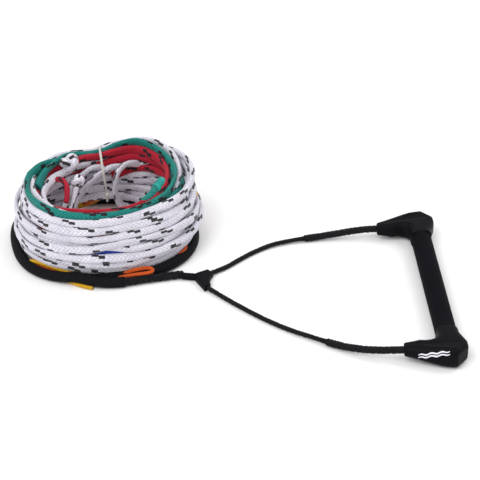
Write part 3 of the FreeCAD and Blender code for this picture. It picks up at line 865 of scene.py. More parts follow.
    def press(self, line: np.ndarray, solid: np.ndarray, steps: int = 260) -> np.ndarray:
        """Presses the turns apart where they overlap and into the coil's outside and the tie.

        Args:
            line: the laid line, in mm.
            solid: points of the black line that the coil rests on, in mm.
            steps: how many passes.

        Returns:
            The settled line, in mm.
        """
        squash = np.array([1.0, 1.0, self.half_thick / self.half_wide])
        gap = 2 * self.half_thick
        rest = self.spacing
        p = line.copy()
        count = len(p)
        index = np.arange(count)
        for step in range(steps):
            if step % 8 == 0:
                a, b = self.near_pairs(p * squash, gap * 1.7)
                way = tangents(p) * squash
                way /= np.linalg.norm(way, axis=1, keepdims=True)
            diff = (p[a] - p[b]) * squash
            slide = (diff * way[b]).sum(1, keepdims=True)
            across = diff - slide * way[b]
            far = np.linalg.norm(across, axis=1)
            hit = (far < gap) & (np.abs(slide[:, 0]) < rest * 0.75)
            push = across[hit] / np.maximum(far[hit, None], 1e-6) * (gap - far[hit, None]) * 0.28
            push = push / squash
            for k in range(3):
                p[:, k] += np.bincount(a[hit], push[:, k], count) - np.bincount(b[hit], push[:, k], count)
            if step % 3 == 0:
                p = self.clear(p, solid)
            p = self.relax(p)
            for first in (0, 1, 0, 1):
                i = index[first:-1:2]
                run = p[i + 1] - p[i]
                size = np.linalg.norm(run, axis=1, keepdims=True)
                fix = run * (0.5 * (size - rest) / size)
                p[i] += fix
                p[i + 1] -= fix
            p = self.contain(p)
        return p

    def relax(self, p: np.ndarray) -> np.ndarray:
        """Evens out the bend of the line, towards arcs about the coil's middle."""
        out = p.copy()
        for reach, share in ((self.smooth_over, 0.2), (1, 0.16)):
            middle = 0.5 * (out[:-2 * reach] + out[2 * reach:])
            away = middle[:, :2] - np.array(self.centre)
            radius = np.linalg.norm(away, axis=1, keepdims=True)
            middle[:, :2] += away / radius * (reach * self.spacing) ** 2 / (2 * radius)
            out[reach:-reach] += share * (middle - out[reach:-reach])
        return out

    def near_pairs(self, p: np.ndarray, reach: float) -> tuple[np.ndarray, np.ndarray]:
        """Returns the pairs of points, not neighbours on the rope, that are within a reach."""
        cell = np.floor(p / reach).astype(np.int64)
        cell -= cell.min(0)
        size = cell.max(0) + 3
        key = (cell[:, 0] * size[1] + cell[:, 1]) * size[2] + cell[:, 2]
        order = np.argsort(key, kind="stable")
        ranked = key[order]
        firsts, seconds = [], []
        for dx in (-1, 0, 1):
            for dy in (-1, 0, 1):
                for dz in (-1, 0, 1):
                    want = key + (dx * size[1] + dy) * size[2] + dz
                    low = np.searchsorted(ranked, want, "left")
                    high = np.searchsorted(ranked, want, "right")
                    span = high - low
                    a = np.repeat(np.arange(len(p)), span)
                    start = np.repeat(low - np.concatenate([[0], np.cumsum(span)[:-1]]), span)
                    b = order[start + np.arange(span.sum())]
                    keep = b - a > 4
                    firsts.append(a[keep])
                    seconds.append(b[keep])
        a, b = np.concatenate(firsts), np.concatenate(seconds)
        near = ((p[a] - p[b]) ** 2).sum(1) < reach * reach
        return a[near], b[near]

    def clear(self, p: np.ndarray, solid: np.ndarray) -> np.ndarray:
        """Moves the turns up and away from the black line under them."""
        reach = 7.0 + self.half_thick + 1.2
        low = np.flatnonzero(p[:, 2] < 7.0 + reach)
        if len(low) == 0:
            return p
        diff = p[low][:, None, :] - solid[None, :, :]
        far = np.linalg.norm(diff, axis=2)
        nearest = far.argmin(1)
        dist = far[np.arange(len(low)), nearest]
        way = diff[np.arange(len(low)), nearest]
        way[:, 2] = np.maximum(way[:, 2], 1.5)
        way /= np.linalg.norm(way, axis=1, keepdims=True)
        hit = dist < reach
        p[low[hit]] += way[hit] * (reach - dist[hit, None]) * 0.7
        return p

    def contain(self, p: np.ndarray) -> np.ndarray:
        """Keeps the turns inside the coil's outside and inside faces, and off the floor."""
        dx, dy = p[:, 0] - self.centre[0], p[:, 1] - self.centre[1]
        angle = np.arctan2(dy, dx)
        r = np.hypot(dx, dy)
        outside, wall, lean, skirt, belly, low, high = self.surroundings(angle)
        z = np.clip(p[:, 2], low, None)
        z = z + (np.minimum(z, high) - z) * 0.5
        most = self.face(outside, lean, skirt, belly, z)
        least = most - wall
        r2 = r + (np.clip(r, least, most) - r) * 0.8
        out = p.copy()
        out[:, 0] = self.centre[0] + dx * r2 / r
        out[:, 1] = self.centre[1] + dy * r2 / r
        out[:, 2] = z
        return out

    def build(self, black_line: np.ndarray) -> dict[str, bpy.types.Object]:
        """Lays, presses and sweeps every section.

        Args:
            black_line: points of the float line, in metres.

        Returns:
            The rope sections by name.
        """
        laid, owner = self.lay()
        settled = self.press(laid, black_line / MM) * MM
        made = {}
        for number, part in enumerate(self.sections):
            own = np.flatnonzero(owner == number)
            own = np.append(own, own[-1] + 1) if own[-1] + 1 < len(settled) else own
            control = settled[own[::3]]
            fine = spline_line(control, 0.0021)
            n = len(fine)
            slack = wander(n, 0.0021, 0.026, part.seed)
            wide = (self.half_wide + 0.75 * slack + 0.25 * wander(n, 0.0021, 0.009, part.seed + 20)) * MM
            thick = (self.half_thick - 0.3 * slack + 0.2 * wander(n, 0.0021, 0.014, part.seed + 50)) * MM
            wide *= part.fullness
            twist = 0.5 * wander(n, 0.0021, 0.06, part.seed + 90)
            fine[:, 2] = np.maximum(fine[:, 2], wide + 0.2 * MM)
            tube = sweep(part.name + "_rope", fine, wide, thick, finish_of(part.finish), 14, twist)
            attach(tube, "line")
            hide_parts(*part.nodes)
            LOG.info("%s: %.2f m of rope", tube.name, length_of(fine))
            made[part.name] = tube
        return made


# --------------------------------------------------------------------------- bridle and leader


@dataclass(frozen=True)
class Braid:
    """The strands laid over a black rope: how many each way, their size and their lead."""

    carriers: int = 5
    strand: float = 0.0014
    lead: float = 0.026
    weave: float = 0.0005

    def lay(self, name: str, line: np.ndarray, radius: float, tree: NodeTree) -> bpy.types.Object:
        """Lays the strands on a line.

        Args:
            name: the strands' name.
            line: the rope's centre line.
            radius: the rope's radius over the strands.
            tree: the braid's node tree.

        Returns:
            The strands as one mesh.
        """
        base = poly_curve(name + "_line", line)
        return tree.run(name, base, {"Radius": radius - self.strand - self.weave / 2, "Strand": self.strand,
                                     "Lead": self.lead, "Carriers": self.carriers,
                                     "Weave": self.weave, "Material": finish_of(Rope.YARN)})


@dataclass
class Bridle:
    """The two rope legs from the caps to the yoke: doubled near the caps, single after."""

    flex: tuple[float, float, float] = (-47.0, 140.5, 15.1)
    inside: float = 9.0
    splice_radius: float = 5.0
    leg_radius: float = 3.25
    taper: float = 16.0
    step: float = 1.6
    far: tuple = ((-72, 141.0, 12.6), (-97, 141.0, 8.2), (-124, 139, 5.4), (-150, 134.5, 5.1),
                  (-166, 130.5, 4.6),
                  (-184, 125, 4.2), (-207, 111, 3.5), (-229, 92, 3.5), (-248, 73.5, 3.6),
                  (-260, 65, 4.2), (-270, 58.5, 4.5))
    near: tuple = ((-71, -136.5, 12.6), (-94, -127, 8.4), (-118, -113.5, 5.5), (-142, -98, 5.1),
                   (-156, -88.5, 4.6),
                   (-172, -78, 4.2), (-195, -59, 3.5), (-217, -38.5, 3.5), (-238, -16.5, 3.5),
                   (-255, 2, 3.6), (-265, 13, 4.2), (-275, 24, 4.5))
    splice_length: float = 100.0

    def build(self, tree: NodeTree) -> None:
        """Builds both legs, each as a thick splice from the cap and a thinner leg."""
        for name, side, points in (("far", 1, self.far), ("near", -1, self.near)):
            x, y, z = self.flex
            start = [(x + self.inside, side * y, z), (x - 4.0, side * y, z)]
            fine = spline_line(np.array(start + list(points)) * MM, self.step * MM)
            cut = int((self.splice_length + self.inside) / self.step)
            overlap = int(self.taper / self.step)
            splice, leg = fine[:cut + 2], fine[cut - overlap:]
            run = np.arange(len(splice)) * self.step
            share = np.clip((run - run[-1] + self.taper) / self.taper, 0, 1)
            radius = self.splice_radius + (self.leg_radius + 0.3 - self.splice_radius) * share
            for part, line, size, crosses in (("splice", splice, radius * MM, True),
                                              ("leg", leg, self.leg_radius * MM, False)):
                self.rope(f"bridle_{part}_{name}", line, size, crosses, side, tree)

    def rope(self, name: str, line: np.ndarray, radius: np.ndarray | float, crosses: bool, side: int,
             tree: NodeTree) -> None:
        """Builds one rope of the bridle with its strands.

        Args:
            name: the CAD node that it stands for.
            line: its centre line.
            radius: its radius, or one for each point.
            crosses: whether it is the splice, whose strands stop short of its thin end and which is not attached
                to the line's body.
            side: not used.
            tree: the braid's node tree.
        """
        size = float(np.max(radius))
        core = sweep(name + "_rope", line, np.asarray(radius) * 0.82, np.asarray(radius) * 0.82,
                     finish_of(Rope.BLACK), 16, 0.0, square=1.0)
        sparse = line[:int(len(line) - self.taper / self.step * 0.6)] if crosses else line
        braid = Braid(strand=0.3 * size, weave=0.11 * size).lay(name + "_braid", sparse, size, tree)
        for piece in (core, braid):
            if crosses:
                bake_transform(piece)
            else:
                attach(piece, "line")
        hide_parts(name)
        LOG.info("%s: %.3f m", core.name, length_of(line))


@dataclass
class Leader:
    """The black leader: a bumpy splice behind the yoke, then the smooth float line in a ring."""

    splice: tuple = ((-307, 56.2, 5.8), (-320, 53.4, 5.8), (-335, 50.8, 5.9), (-352, 47.6, 6.1),
                     (-370, 43, 6.6), (-384, 39.8, 7.1))
    ring: tuple = (
        (-384, 39.8, 7.1), (-400, 38.2, 7.1), (-420, 40, 8.2), (-443, 46.5, 12), (-466, 53, 8.6),
        (-490, 64, 7.1), (-510, 82, 7.1), (-523, 106, 7), (-530, 134, 7), (-534, 163, 7), (-533, 193, 7),
        (-520, 221, 7), (-496, 241, 7), (-466, 251, 7), (-434, 254, 7), (-402, 253, 7), (-370, 249, 7),
        (-340, 238, 7), (-314, 219, 7), (-296, 193, 7), (-288, 162, 7), (-290, 130, 7),
        (-301, 101, 7), (-322, 77, 7), (-348, 62, 7), (-376, 54.8, 7), (-405, 53.8, 7),
        (-433, 61, 7), (-458, 73, 7), (-481, 90, 7), (-500, 112, 7), (-513, 139, 7),
        (-518, 168, 7), (-514, 194, 7), (-507, 211, 7))
    splice_radius: float = 5.5
    ring_radius: float = 7.0

    def build(self, tree: NodeTree) -> np.ndarray:
        """Builds the splice and the float line.

        Returns:
            Points along the float line, in metres.
        """
        bumpy = spline_line(np.array(self.splice) * MM, 0.0013)
        core_radius = self.splice_radius * MM * 0.9
        splice = sweep("leader_splice_rope", bumpy, core_radius, core_radius, finish_of(Rope.BLACK), 18,
                       0.0, square=1.0)
        strands = Braid(4, 0.0023, 0.034, 0.0007).lay("leader_splice_braid", bumpy,
                                                     self.splice_radius * MM, tree)
        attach(strands, "line")
        line = spline_line(np.array(self.ring) * MM, 0.0022)
        float_line = sweep("float_line_rope", line, self.ring_radius * MM, self.ring_radius * MM,
                           finish_of(Rope.FLOAT), 22, 0.0, square=1.0)
        for piece, path, node, slot, size, on_it in (
                (splice, bumpy, "leader_splice", "black_rope", self.splice_radius, [strands]),
                (float_line, line, "float_line", "black_float_line", self.ring_radius, [])):
            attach(piece, "line")
            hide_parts(node)
            LOG.info("%s: %.3f m", piece.name, length_of(path))
        return line


@dataclass(frozen=True)
class Knot:
    """A tied knot: one rope in a trefoil, pulled tight."""

    name: str
    finish: Rope
    middle: tuple[float, float, float]
    size: tuple[float, float, float]
    rope: float
    turn: float = 0.0
    tilt: float = 0.0

    def build(self) -> bpy.types.Object:
        """Builds the knot and returns it."""
        t = np.linspace(0, 2 * math.pi, 150)[:-4]
        curve = np.column_stack([np.sin(t) + 2 * np.sin(2 * t), np.cos(t) - 2 * np.cos(2 * t),
                                 -1.6 * np.sin(3 * t)])
        reach = np.array([3.0, 3.0, 1.6])
        curve = curve / reach * (np.array(self.size) / 2 - self.rope)
        ct, st, cl, sl = math.cos(self.turn), math.sin(self.turn), math.cos(self.tilt), math.sin(self.tilt)
        spin = np.array([[ct, -st, 0], [st, ct, 0], [0, 0, 1]]) @ np.array([[1, 0, 0], [0, cl, -sl],
                                                                            [0, sl, cl]])
        line = (curve @ spin.T + np.array(self.middle)) * MM
        knot = sweep(self.name + "_tied", even(line, 0.0009), self.rope * MM, self.rope * MM,
                     finish_of(self.finish), 14, 0.0, carried=True, square=1.0)
        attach(knot, "line")
        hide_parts(self.name)
        LOG.info("%s", knot.name)
        return knot


@dataclass(frozen=True)
class LooseRope:
    """A short length of rope that lies or stands free of the coil."""

    name: str
    finish: Rope
    route: tuple
    nodes: tuple[str, ...] = ()
    wide: float = 3.75
    thick: float = 3.75
    far_end: str = "object"

    def build(self, on_it: tuple[bpy.types.Object, ...] = ()) -> bpy.types.Object:
        """Args:
            on_it: not used.

        Returns:
            The rope.
        """
        line = spline_line(np.array(self.route) * MM, 0.0012)
        rope = sweep(self.name + "_rope", line, self.wide * MM, self.thick * MM, finish_of(self.finish),
                     14, 0.0, carried=True, square=0.92)
        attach(rope, "line")
        if self.nodes:
            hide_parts(*self.nodes)
        LOG.info("%s: %.3f m", rope.name, length_of(line))
        return rope


@dataclass
class CoilEnds:
    """The rope ends and takeoff loops that show in and round the coil, with their knots."""

    knots: tuple[Knot, ...] = (
        Knot("big_knot", Rope.WHITE, (-456, 206, 94), (31, 25, 23), 6.2, 0.5, 0.5),
        Knot("small_knot", Rope.WHITE, (-445, 183, 78), (22, 18, 17), 4.8, 1.2, 0.4),
        Knot("hitch_knot", Rope.FLOAT, (-500, 216.5, 8.5), (30, 24, 16), 4.0, 0.3))
    tow_end: tuple = ((-447, 178, 72), (-453, 165, 56), (-457, 152, 42), (-458, 144, 33), (-458, 131, 21),
                      (-453, 119, 12), (-443, 110, 7), (-430, 105, 4.8))
    tow_eye: tuple = ((-430, 105, 4.8), (-413, 102.5, 4.2), (-394, 103, 4), (-375, 109, 4),
                      (-360, 122, 4), (-355, 141, 4), (-361, 160, 4), (-377, 171, 4), (-396, 171, 4),
                      (-410, 159, 4), (-415, 141, 4), (-417, 124, 4.4))
    red_loop: tuple = ((-482, 187, 76), (-473, 186, 82), (-463, 178, 82), (-458, 166, 74),
                       (-461, 155, 62))
    yellow_loop: tuple = ((-426, 34, 2.5), (-435, 37.5, 2.5), (-446, 43.5, 2.7), (-458, 52.5, 3.2),
                          (-470, 62.5, 4.6), (-485, 73, 5.4), (-499, 83, 5.6), (-508, 90, 6.6),
                          (-511, 91.5, 10), (-505, 86.5, 13.6), (-491, 77, 14.4), (-474, 67, 13.6),
                          (-459, 60.5, 11.5), (-446, 57.5, 8), (-434, 60, 7))
    orange_loop: tuple = ((-506, 87.5, 9.6), (-497, 81, 10), (-484, 72.5, 9.8), (-472, 65.5, 8.4),
                          (-459, 61, 6.5), (-447, 60, 5))
    orange_fold: tuple = ((-389, 53, 9), (-379, 53.5, 13.8), (-367, 55.5, 15.8), (-357, 58, 16),
                          (-349, 59, 15), (-345.5, 55.5, 13.2), (-350, 52.2, 12.2), (-360, 50, 12.2),
                          (-371, 48, 12.4), (-382, 47, 11), (-391, 49, 8))
    orange_arc: tuple = ((-317, 90, 7), (-310, 95, 11.2), (-303.5, 102, 13.4), (-300, 111, 13),
                         (-303, 121, 8))
    yellow_tip: tuple = ((-298, 155, 55), (-289, 160, 60), (-284.5, 169, 62), (-286, 179, 61),
                         (-295, 186, 56))
    inner_strands: tuple = (
        ((-360, 236, 72), (-372, 229, 79), (-385, 218, 80), (-393, 207, 74), (-396, 204, 60), (-396, 207, 44),
         (-394, 213, 28), (-386, 220, 14), (-373, 224, 9), (-358, 219, 8)),
        ((-386, 229, 72), (-398, 221, 78), (-410, 211, 77), (-423, 208, 68), (-437, 206, 53),
         (-450, 200, 37), (-460, 191, 21), (-465, 180, 10)),
        ((-408, 231, 70), (-420, 223, 77), (-434, 213, 77), (-449, 203, 66), (-461, 193, 50),
         (-469, 181, 34), (-473, 168, 20), (-473, 154, 10)))

    def build(self) -> None:
        """Builds the knots, the loose ropes and the takeoff loops."""
        big, small, hitch = (knot.build() for knot in self.knots)
        LooseRope("tow_line_end", Rope.WHITE, self.tow_end, ("tow_line_end",)).build((big, small, hitch))
        LooseRope("tow_loop", Rope.WHITE, self.tow_eye, ("tow_loop",)).build()
        LooseRope("red_loop_end", Rope.RED, self.red_loop, ("red_loop_end",)).build()
        LooseRope("yellow_takeoff_loop", Rope.YELLOW, self.yellow_loop, (), 2.6, 2.4).build()
        LooseRope("orange_takeoff_strand", Rope.ORANGE, self.orange_loop, (), 2.2, 2.0).build()
        LooseRope("orange_takeoff_loop", Rope.ORANGE, self.orange_fold, (), 2.7, 2.5).build()
        LooseRope("orange_takeoff_arc", Rope.ORANGE, self.orange_arc, (), 2.7, 2.5).build()
        LooseRope("yellow_takeoff_tip", Rope.YELLOW, self.yellow_tip, (), 2.6, 2.4).build()
        for number, route in enumerate(self.inner_strands):
            LooseRope(f"inner_white_strand_{number}", Rope.WHITE, route, (), 5.6, 3.4).build()


@dataclass
class Whipping:
    """The bound end of the green rope: the rope inside, and turns of twine round it."""

    route: tuple = ((-329, 147, 95), (-331.5, 140, 98), (-335.5, 130, 98.6), (-340, 119, 98),
                    (-346, 107, 97), (-354, 96, 95.5), (-364, 86, 93), (-376, 78, 90))
    sizes: tuple[float, ...] = (5.6, 6.4, 6.8, 7.2, 7.0, 6.2, 5.0, 3.6)
    bound: tuple[float, float] = (0.06, 0.34)
    twine: float = 1.15

    def build(self, tree: NodeTree) -> None:
        """Builds the rope and its twine."""
        line = spline_line(np.array(self.route) * MM, 0.001)
        run = np.linspace(0, 1, len(line))
        size = np.interp(run, np.linspace(0, 1, len(self.sizes)), self.sizes)
        ripple = 1 + 0.05 * wander(len(line), 0.001, 0.006, 31)
        core = sweep("green_whipping_rope", line, size * ripple * MM, 0.8 * size * MM, finish_of(Rope.GREEN),
                     18, 0.3 * wander(len(line), 0.001, 0.02, 33), square=1.0)
        first, last = (int(share * len(line)) for share in self.bound)
        way = line[last] - line[first]
        ring = self.ring(math.atan2(way[1], way[0]))
        rows = even(line[first:last], 2.6 * self.twine * MM)
        base = mesh_object("whipping_rows", rows, [], finish_of(Rope.GREEN))
        turns = tree.run("green_whipping_twine", base, {"Piece": ring, "Size Spread": 0.05, "Seed": 4,
                                                        "Material": finish_of(Moulding.TWINE)})
        bpy.data.objects.remove(ring)
        for piece in (core, turns):
            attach(piece, "line")
        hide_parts("green_whipping")
        LOG.info("%s: %d turns", turns.name, len(rows))

    def ring(self, heading: float) -> bpy.types.Object:
        """Returns one slanted turn of twine at the origin, about a level axis with a heading."""
        about, round_it = 28, 8
        a = np.linspace(0, 2 * math.pi, about, endpoint=False)[:, None]
        b = np.linspace(0, 2 * math.pi, round_it, endpoint=False)[None, :]
        grown = self.sizes[1] + 0.5 + self.twine * np.cos(b)
        along = self.twine * np.sin(b) + 2.6 * np.cos(a)
        side, up = 0.82 * grown * np.cos(a), grown * np.sin(a)
        pts = np.stack([along * math.cos(heading) - side * math.sin(heading),
                        along * math.sin(heading) + side * math.cos(heading), up + 0 * b], -1)
        faces = [(i * round_it + j, i * round_it + (j + 1) % round_it,
                  (i + 1) % about * round_it + (j + 1) % round_it, (i + 1) % about * round_it + j)
                 for i in range(about) for j in range(round_it)]
        return mesh_object("twine_turn", pts.reshape(-1, 3) * MM, faces, finish_of(Rope.GREEN))


@dataclass
class CableTie:
    """The nylon tie round the back of the coil: a ribbed strap, its head and its cut tail."""

    centre: tuple[float, float] = (-405.0, 155.0)
    angle: float = 98.0
    loop: tuple = ((47, -4, 48), (44, -2, 66), (49, 0, 86), (62, 0, 97), (76, 0, 103), (87, 0, 100),
                   (94, 0, 84), (95, 0, 62), (92, -1, 46), (82, -3, 36), (67, -4, 33), (54, -4, 38),
                   (47, -4, 48))
    half_wide: float = 1.5
    half_thick: float = 0.55
    head: tuple[float, float, float] = (5.0, 5.4, 5.5)

    def place(self, r: float, side: float, z: float) -> tuple[float, float, float]:
        """Returns the place, in metres, of a point given by its reach, side and height."""
        a = math.radians(self.angle)
        return ((self.centre[0] + r * math.cos(a) - side * math.sin(a)) * MM,
                (self.centre[1] + r * math.sin(a) + side * math.cos(a)) * MM, z * MM)

    def build(self, tree: NodeTree) -> None:
        """Builds the strap with its ribs, and the head."""
        route = np.array([self.place(*point) for point in self.loop])
        line = spline_line(route, 0.0012)
        strap = self.strap(line)
        a = math.radians(self.angle)
        out = np.array([math.cos(a), math.sin(a), 0.0])
        rib = mesh_object("rib", np.array([(x, y, z) for x in (-1, 1) for y in (-1, 1) for z in (-1, 1)])
                          * np.array([0.9, 0.3, 0.3]) * MM,
                          [(0, 1, 3, 2), (4, 6, 7, 5), (0, 4, 5, 1), (2, 3, 7, 6), (0, 2, 6, 4),
                           (1, 5, 7, 3)], finish_of(Moulding.TIE), False)
        turn = np.array([[-math.sin(a), -math.cos(a), 0], [math.cos(a), -math.sin(a), 0], [0, 0, 1]])
        rib.data.transform(matrix_of(turn))
        way = tangents(line)
        inward = np.cross(way, np.cross(out, [0, 0, 1.0]))
        spots = (line + inward * self.half_thick * MM)[::2]
        base = mesh_object("rib_rows", spots, [], finish_of(Moulding.TIE))
        teeth = tree.run("tie_strap_ribs", base, {"Piece": rib, "Size Spread": 0.0, "Seed": 2,
                                                  "Material": finish_of(Moulding.TIE)})
        bpy.data.objects.remove(rib)
        head = self.head_block()
        for piece, node in ((strap, "tie_strap"), (teeth, None), (head, "tie_head")):
            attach(piece, "line")
            if node:
                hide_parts(node)
            LOG.info("%s", piece.name)

    def strap(self, line: np.ndarray) -> bpy.types.Object:
        """Sweeps the strap's flat section round its closed line."""
        a = math.radians(self.angle)
        side = np.array([-math.sin(a), math.cos(a), 0.0])
        ring = line[:-1]
        way = np.roll(ring, -1, 0) - np.roll(ring, 1, 0)
        way /= np.linalg.norm(way, axis=1, keepdims=True)
        face = np.cross(way, side)
        wide, thick = self.half_wide * MM, self.half_thick * MM
        section = ((wide, -0.6 * thick), (wide, 0.6 * thick), (0.8 * wide, thick), (-0.8 * wide, thick),
                   (-wide, 0.6 * thick), (-wide, -0.6 * thick), (-0.8 * wide, -thick), (0.8 * wide, -thick))
        rows = np.stack([ring + w * side + t * face for w, t in section], 1)
        n, m = len(ring), len(section)
        faces = [(i * m + j, i * m + (j + 1) % m, (i + 1) % n * m + (j + 1) % m, (i + 1) % n * m + j)
                 for i in range(n) for j in range(m)]
        strap = mesh_object("tie_strap_band", rows.reshape(-1, 3), faces, finish_of(Moulding.TIE), False)
        mend_normals(strap)
        return strap

    def head_block(self) -> bpy.types.Object:
        """Builds the head: a rounded block, and the cut tail below it."""
        r, side, z = self.loop[0]
        long, wide, high = self.head
        corner = np.array([(x, y, h) for x in (-1, 1) for y in (-1, 1) for h in (-1, 1)]) / 2
        pts = [self.place(r - 2.4 + x * long, side + y * wide, z - 3 + h * high) for x, y, h in corner]
        pts += [self.place(r - 2.6 + x * 1.2, side + y * 3.0, z - 3 - 6.5 + h * 8) for x, y, h in corner]
        quads = [(0, 1, 3, 2), (4, 6, 7, 5), (0, 4, 5, 1), (2, 3, 7, 6), (0, 2, 6, 4), (1, 5, 7, 3)]
        faces = quads + [tuple(8 + v for v in q) for q in quads]
        head = mesh_object("tie_head_block", np.array(pts), faces, finish_of(Moulding.TIE), False)
        mend_normals(head)
        soften(head, 0.0007, 3)
        return head


@dataclass
class EndCap:
    """A moulded rubber end cap: its outline from above, its thickness and its rounded edges.

    The sizes are in millimetres, for the far cap; the near one is its mirror image.
    """

    bar_x: float = 18.0
    mid_z: float = 15.1
    half_high: float = 14.4
    reach: float = 57.0
    back: float = 21.0
    tip: float = 167.0
    grip_end: float = 110.0
    lip: float = 14.1
    mouth_y: float = 140.5
    mouth_half: float = 8.1
    shoulder: float = 12.0
    edge: float = 9.0
    facet: float = 7.0
    bore: float = 5.5
    voxel: float = 0.9

    def outline(self) -> tuple[np.ndarray, np.ndarray]:
        """Returns the outline's points and how far each of its edges is rounded."""
        mouth_x = self.bar_x - self.reach
        tip = np.array([self.bar_x + 5.5, self.tip])
        corner = np.array([self.bar_x + self.back, self.tip - 17.5])
        heel = np.array([self.bar_x + self.back, self.tip - 29.0])
        nape = np.array([self.bar_x + self.lip + 0.5, self.grip_end + 10.5])
        grip_back = np.array([self.bar_x + self.lip, self.grip_end])
        grip_front = np.array([self.bar_x - self.lip, self.grip_end])
        mouth_out = np.array([mouth_x, self.mouth_y + self.mouth_half])
        mouth_in = np.array([mouth_x, self.mouth_y - self.mouth_half])
        inner = np.array([self.bar_x - 33.1, self.mouth_y - self.mouth_half - 2.5])
        hollow = np.array([self.bar_x - 17.0, self.grip_end + 18.0])
        bow = (mouth_out + tip) / 2 + np.array([0.0, 2.2])
        stretches = ((self.curve(mouth_out, bow, tip, 24), self.edge), (self.curve(tip, None, corner, 6),
                     self.facet), (self.curve(corner, None, heel, 6), self.facet),
                     (self.curve(heel, None, nape, 6), self.edge),
                     (self.curve(nape, None, grip_back, 4), self.edge),
                     (self.curve(grip_back, None, grip_front, 6), 0.0),
                     (self.curve(grip_front, hollow, inner, 18), self.edge),
                     (self.curve(inner, None, mouth_in, 3), self.edge * 0.7),
                     (self.curve(mouth_in, None, mouth_out, 4), 2.2))
        points = np.vstack([line[:-1] for line, _ in stretches])
        rounds = np.concatenate([np.full(len(line) - 1, size) for line, size in stretches])
        return points, rounds

    @staticmethod
    def curve(start: np.ndarray, middle: np.ndarray | None, end: np.ndarray, count: int) -> np.ndarray:
        """Returns points from start to end, bowed through a middle point if there is one."""
        t = np.linspace(0, 1, count)[:, None]
        if middle is None:
            return start * (1 - t) + end * t
        pull = 2 * middle - (start + end) / 2
        return start * (1 - t) ** 2 + 2 * pull * t * (1 - t) + end * t ** 2

    def half_thickness(self, x: np.ndarray) -> np.ndarray:
        """Returns half the cap's height at each x: it thins towards the mouth."""
        share = np.clip((x - self.bar_x + self.reach) / (self.reach - self.shoulder), 0, 1)
        return self.mouth_half + (self.half_high - self.mouth_half) * share ** 1.3

    def build(self, name: str, side: int) -> bpy.types.Object:
        """Builds a cap.

        Args:
            name: the CAD node that it stands for.
            side: 1 for the far cap and -1 for the near one.

        Returns:
            The cap.
        """
        points, rounds = self.outline()
        n = len(points)
        before = np.roll(points, 1, 0)
        ahead = np.roll(points, -1, 0) - points
        behind = points - before
        normals = [np.column_stack([v[:, 1], -v[:, 0]]) / np.linalg.norm(v, axis=1, keepdims=True)
                   for v in (behind, ahead)]
        high = self.half_thickness(points[:, 0])
        sizes = [np.minimum(np.roll(rounds, 1), high - 0.2), np.minimum(rounds, high - 0.2)]
        own = np.maximum(*sizes)
        levels = []
        for step in np.linspace(0, math.pi / 2, 9):
            away = [size * (1 - math.cos(step)) for size in sizes]
            moved = points.copy()
            for k in range(n):
                a, b = normals[0][k], normals[1][k]
                if a @ b > 0.97:
                    moved[k] += a * (away[0][k] + away[1][k]) / 2
                else:
                    moved[k] += np.linalg.solve(np.array([a, b]), [away[0][k], away[1][k]])
            levels.append((moved, high - own + own * math.sin(step)))
        rings = [np.column_stack([m, self.mid_z - h]) for m, h in reversed(levels)]
        rings += [np.column_stack([m, self.mid_z + h]) for m, h in levels]
        vertices = np.vstack(rings) * MM
        faces = [(r * n + k, r * n + (k + 1) % n, (r + 1) * n + (k + 1) % n, (r + 1) * n + k)
                 for r in range(len(rings) - 1) for k in range(n)]
        faces += [tuple(range(n)), tuple((len(rings) - 1) * n + k for k in range(n))]
        cap = mesh_object(name + "_moulding", vertices, faces, finish_of(Moulding.CAP))
        mend_normals(cap)
        self.bore_mouth(cap)
        remesh = cap.modifiers.new("even", "REMESH")
        remesh.mode, remesh.voxel_size = "VOXEL", self.voxel * MM
        smooth = cap.modifiers.new("eased", "SMOOTH")
        smooth.iterations, smooth.factor = 5, 0.5
        apply_modifiers(cap)
        if side < 0:
            cap.data.transform(Matrix.Scale(-1, 4, (0, 1, 0)))
            cap.data.flip_normals()
        cap.data.polygons.foreach_set("use_smooth", [True] * len(cap.data.polygons))
        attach(cap, "handle")
        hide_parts(name)
        LOG.info("%s: %d faces", cap.name, len(cap.data.polygons))
        return cap

    def bore_mouth(self, cap: bpy.types.Object) -> None:
        """Cuts the start of the rope's channel into the mouth."""
        mouth_x = self.bar_x - self.reach
        along = np.array([mouth_x - 3.0, mouth_x + 9.0])
        a = np.linspace(0, 2 * math.pi, 24, endpoint=False)
        rings = [np.column_stack([np.full(24, x), self.mouth_y + self.bore * np.cos(a),
                                  self.mid_z + self.bore * np.sin(a)]) for x in along]
        faces = [(k, (k + 1) % 24, 24 + (k + 1) % 24, 24 + k) for k in range(24)]
        faces += [tuple(range(24)), tuple(range(24, 48))]
        drill = mesh_object("drill", np.vstack(rings) * MM, faces, finish_of(Moulding.CAP))
        mend_normals(drill)
        cut = cap.modifiers.new("mouth", "BOOLEAN")
        cut.object, cut.operation = drill, "DIFFERENCE"
        apply_modifiers(cap)
        bpy.data.objects.remove(drill)


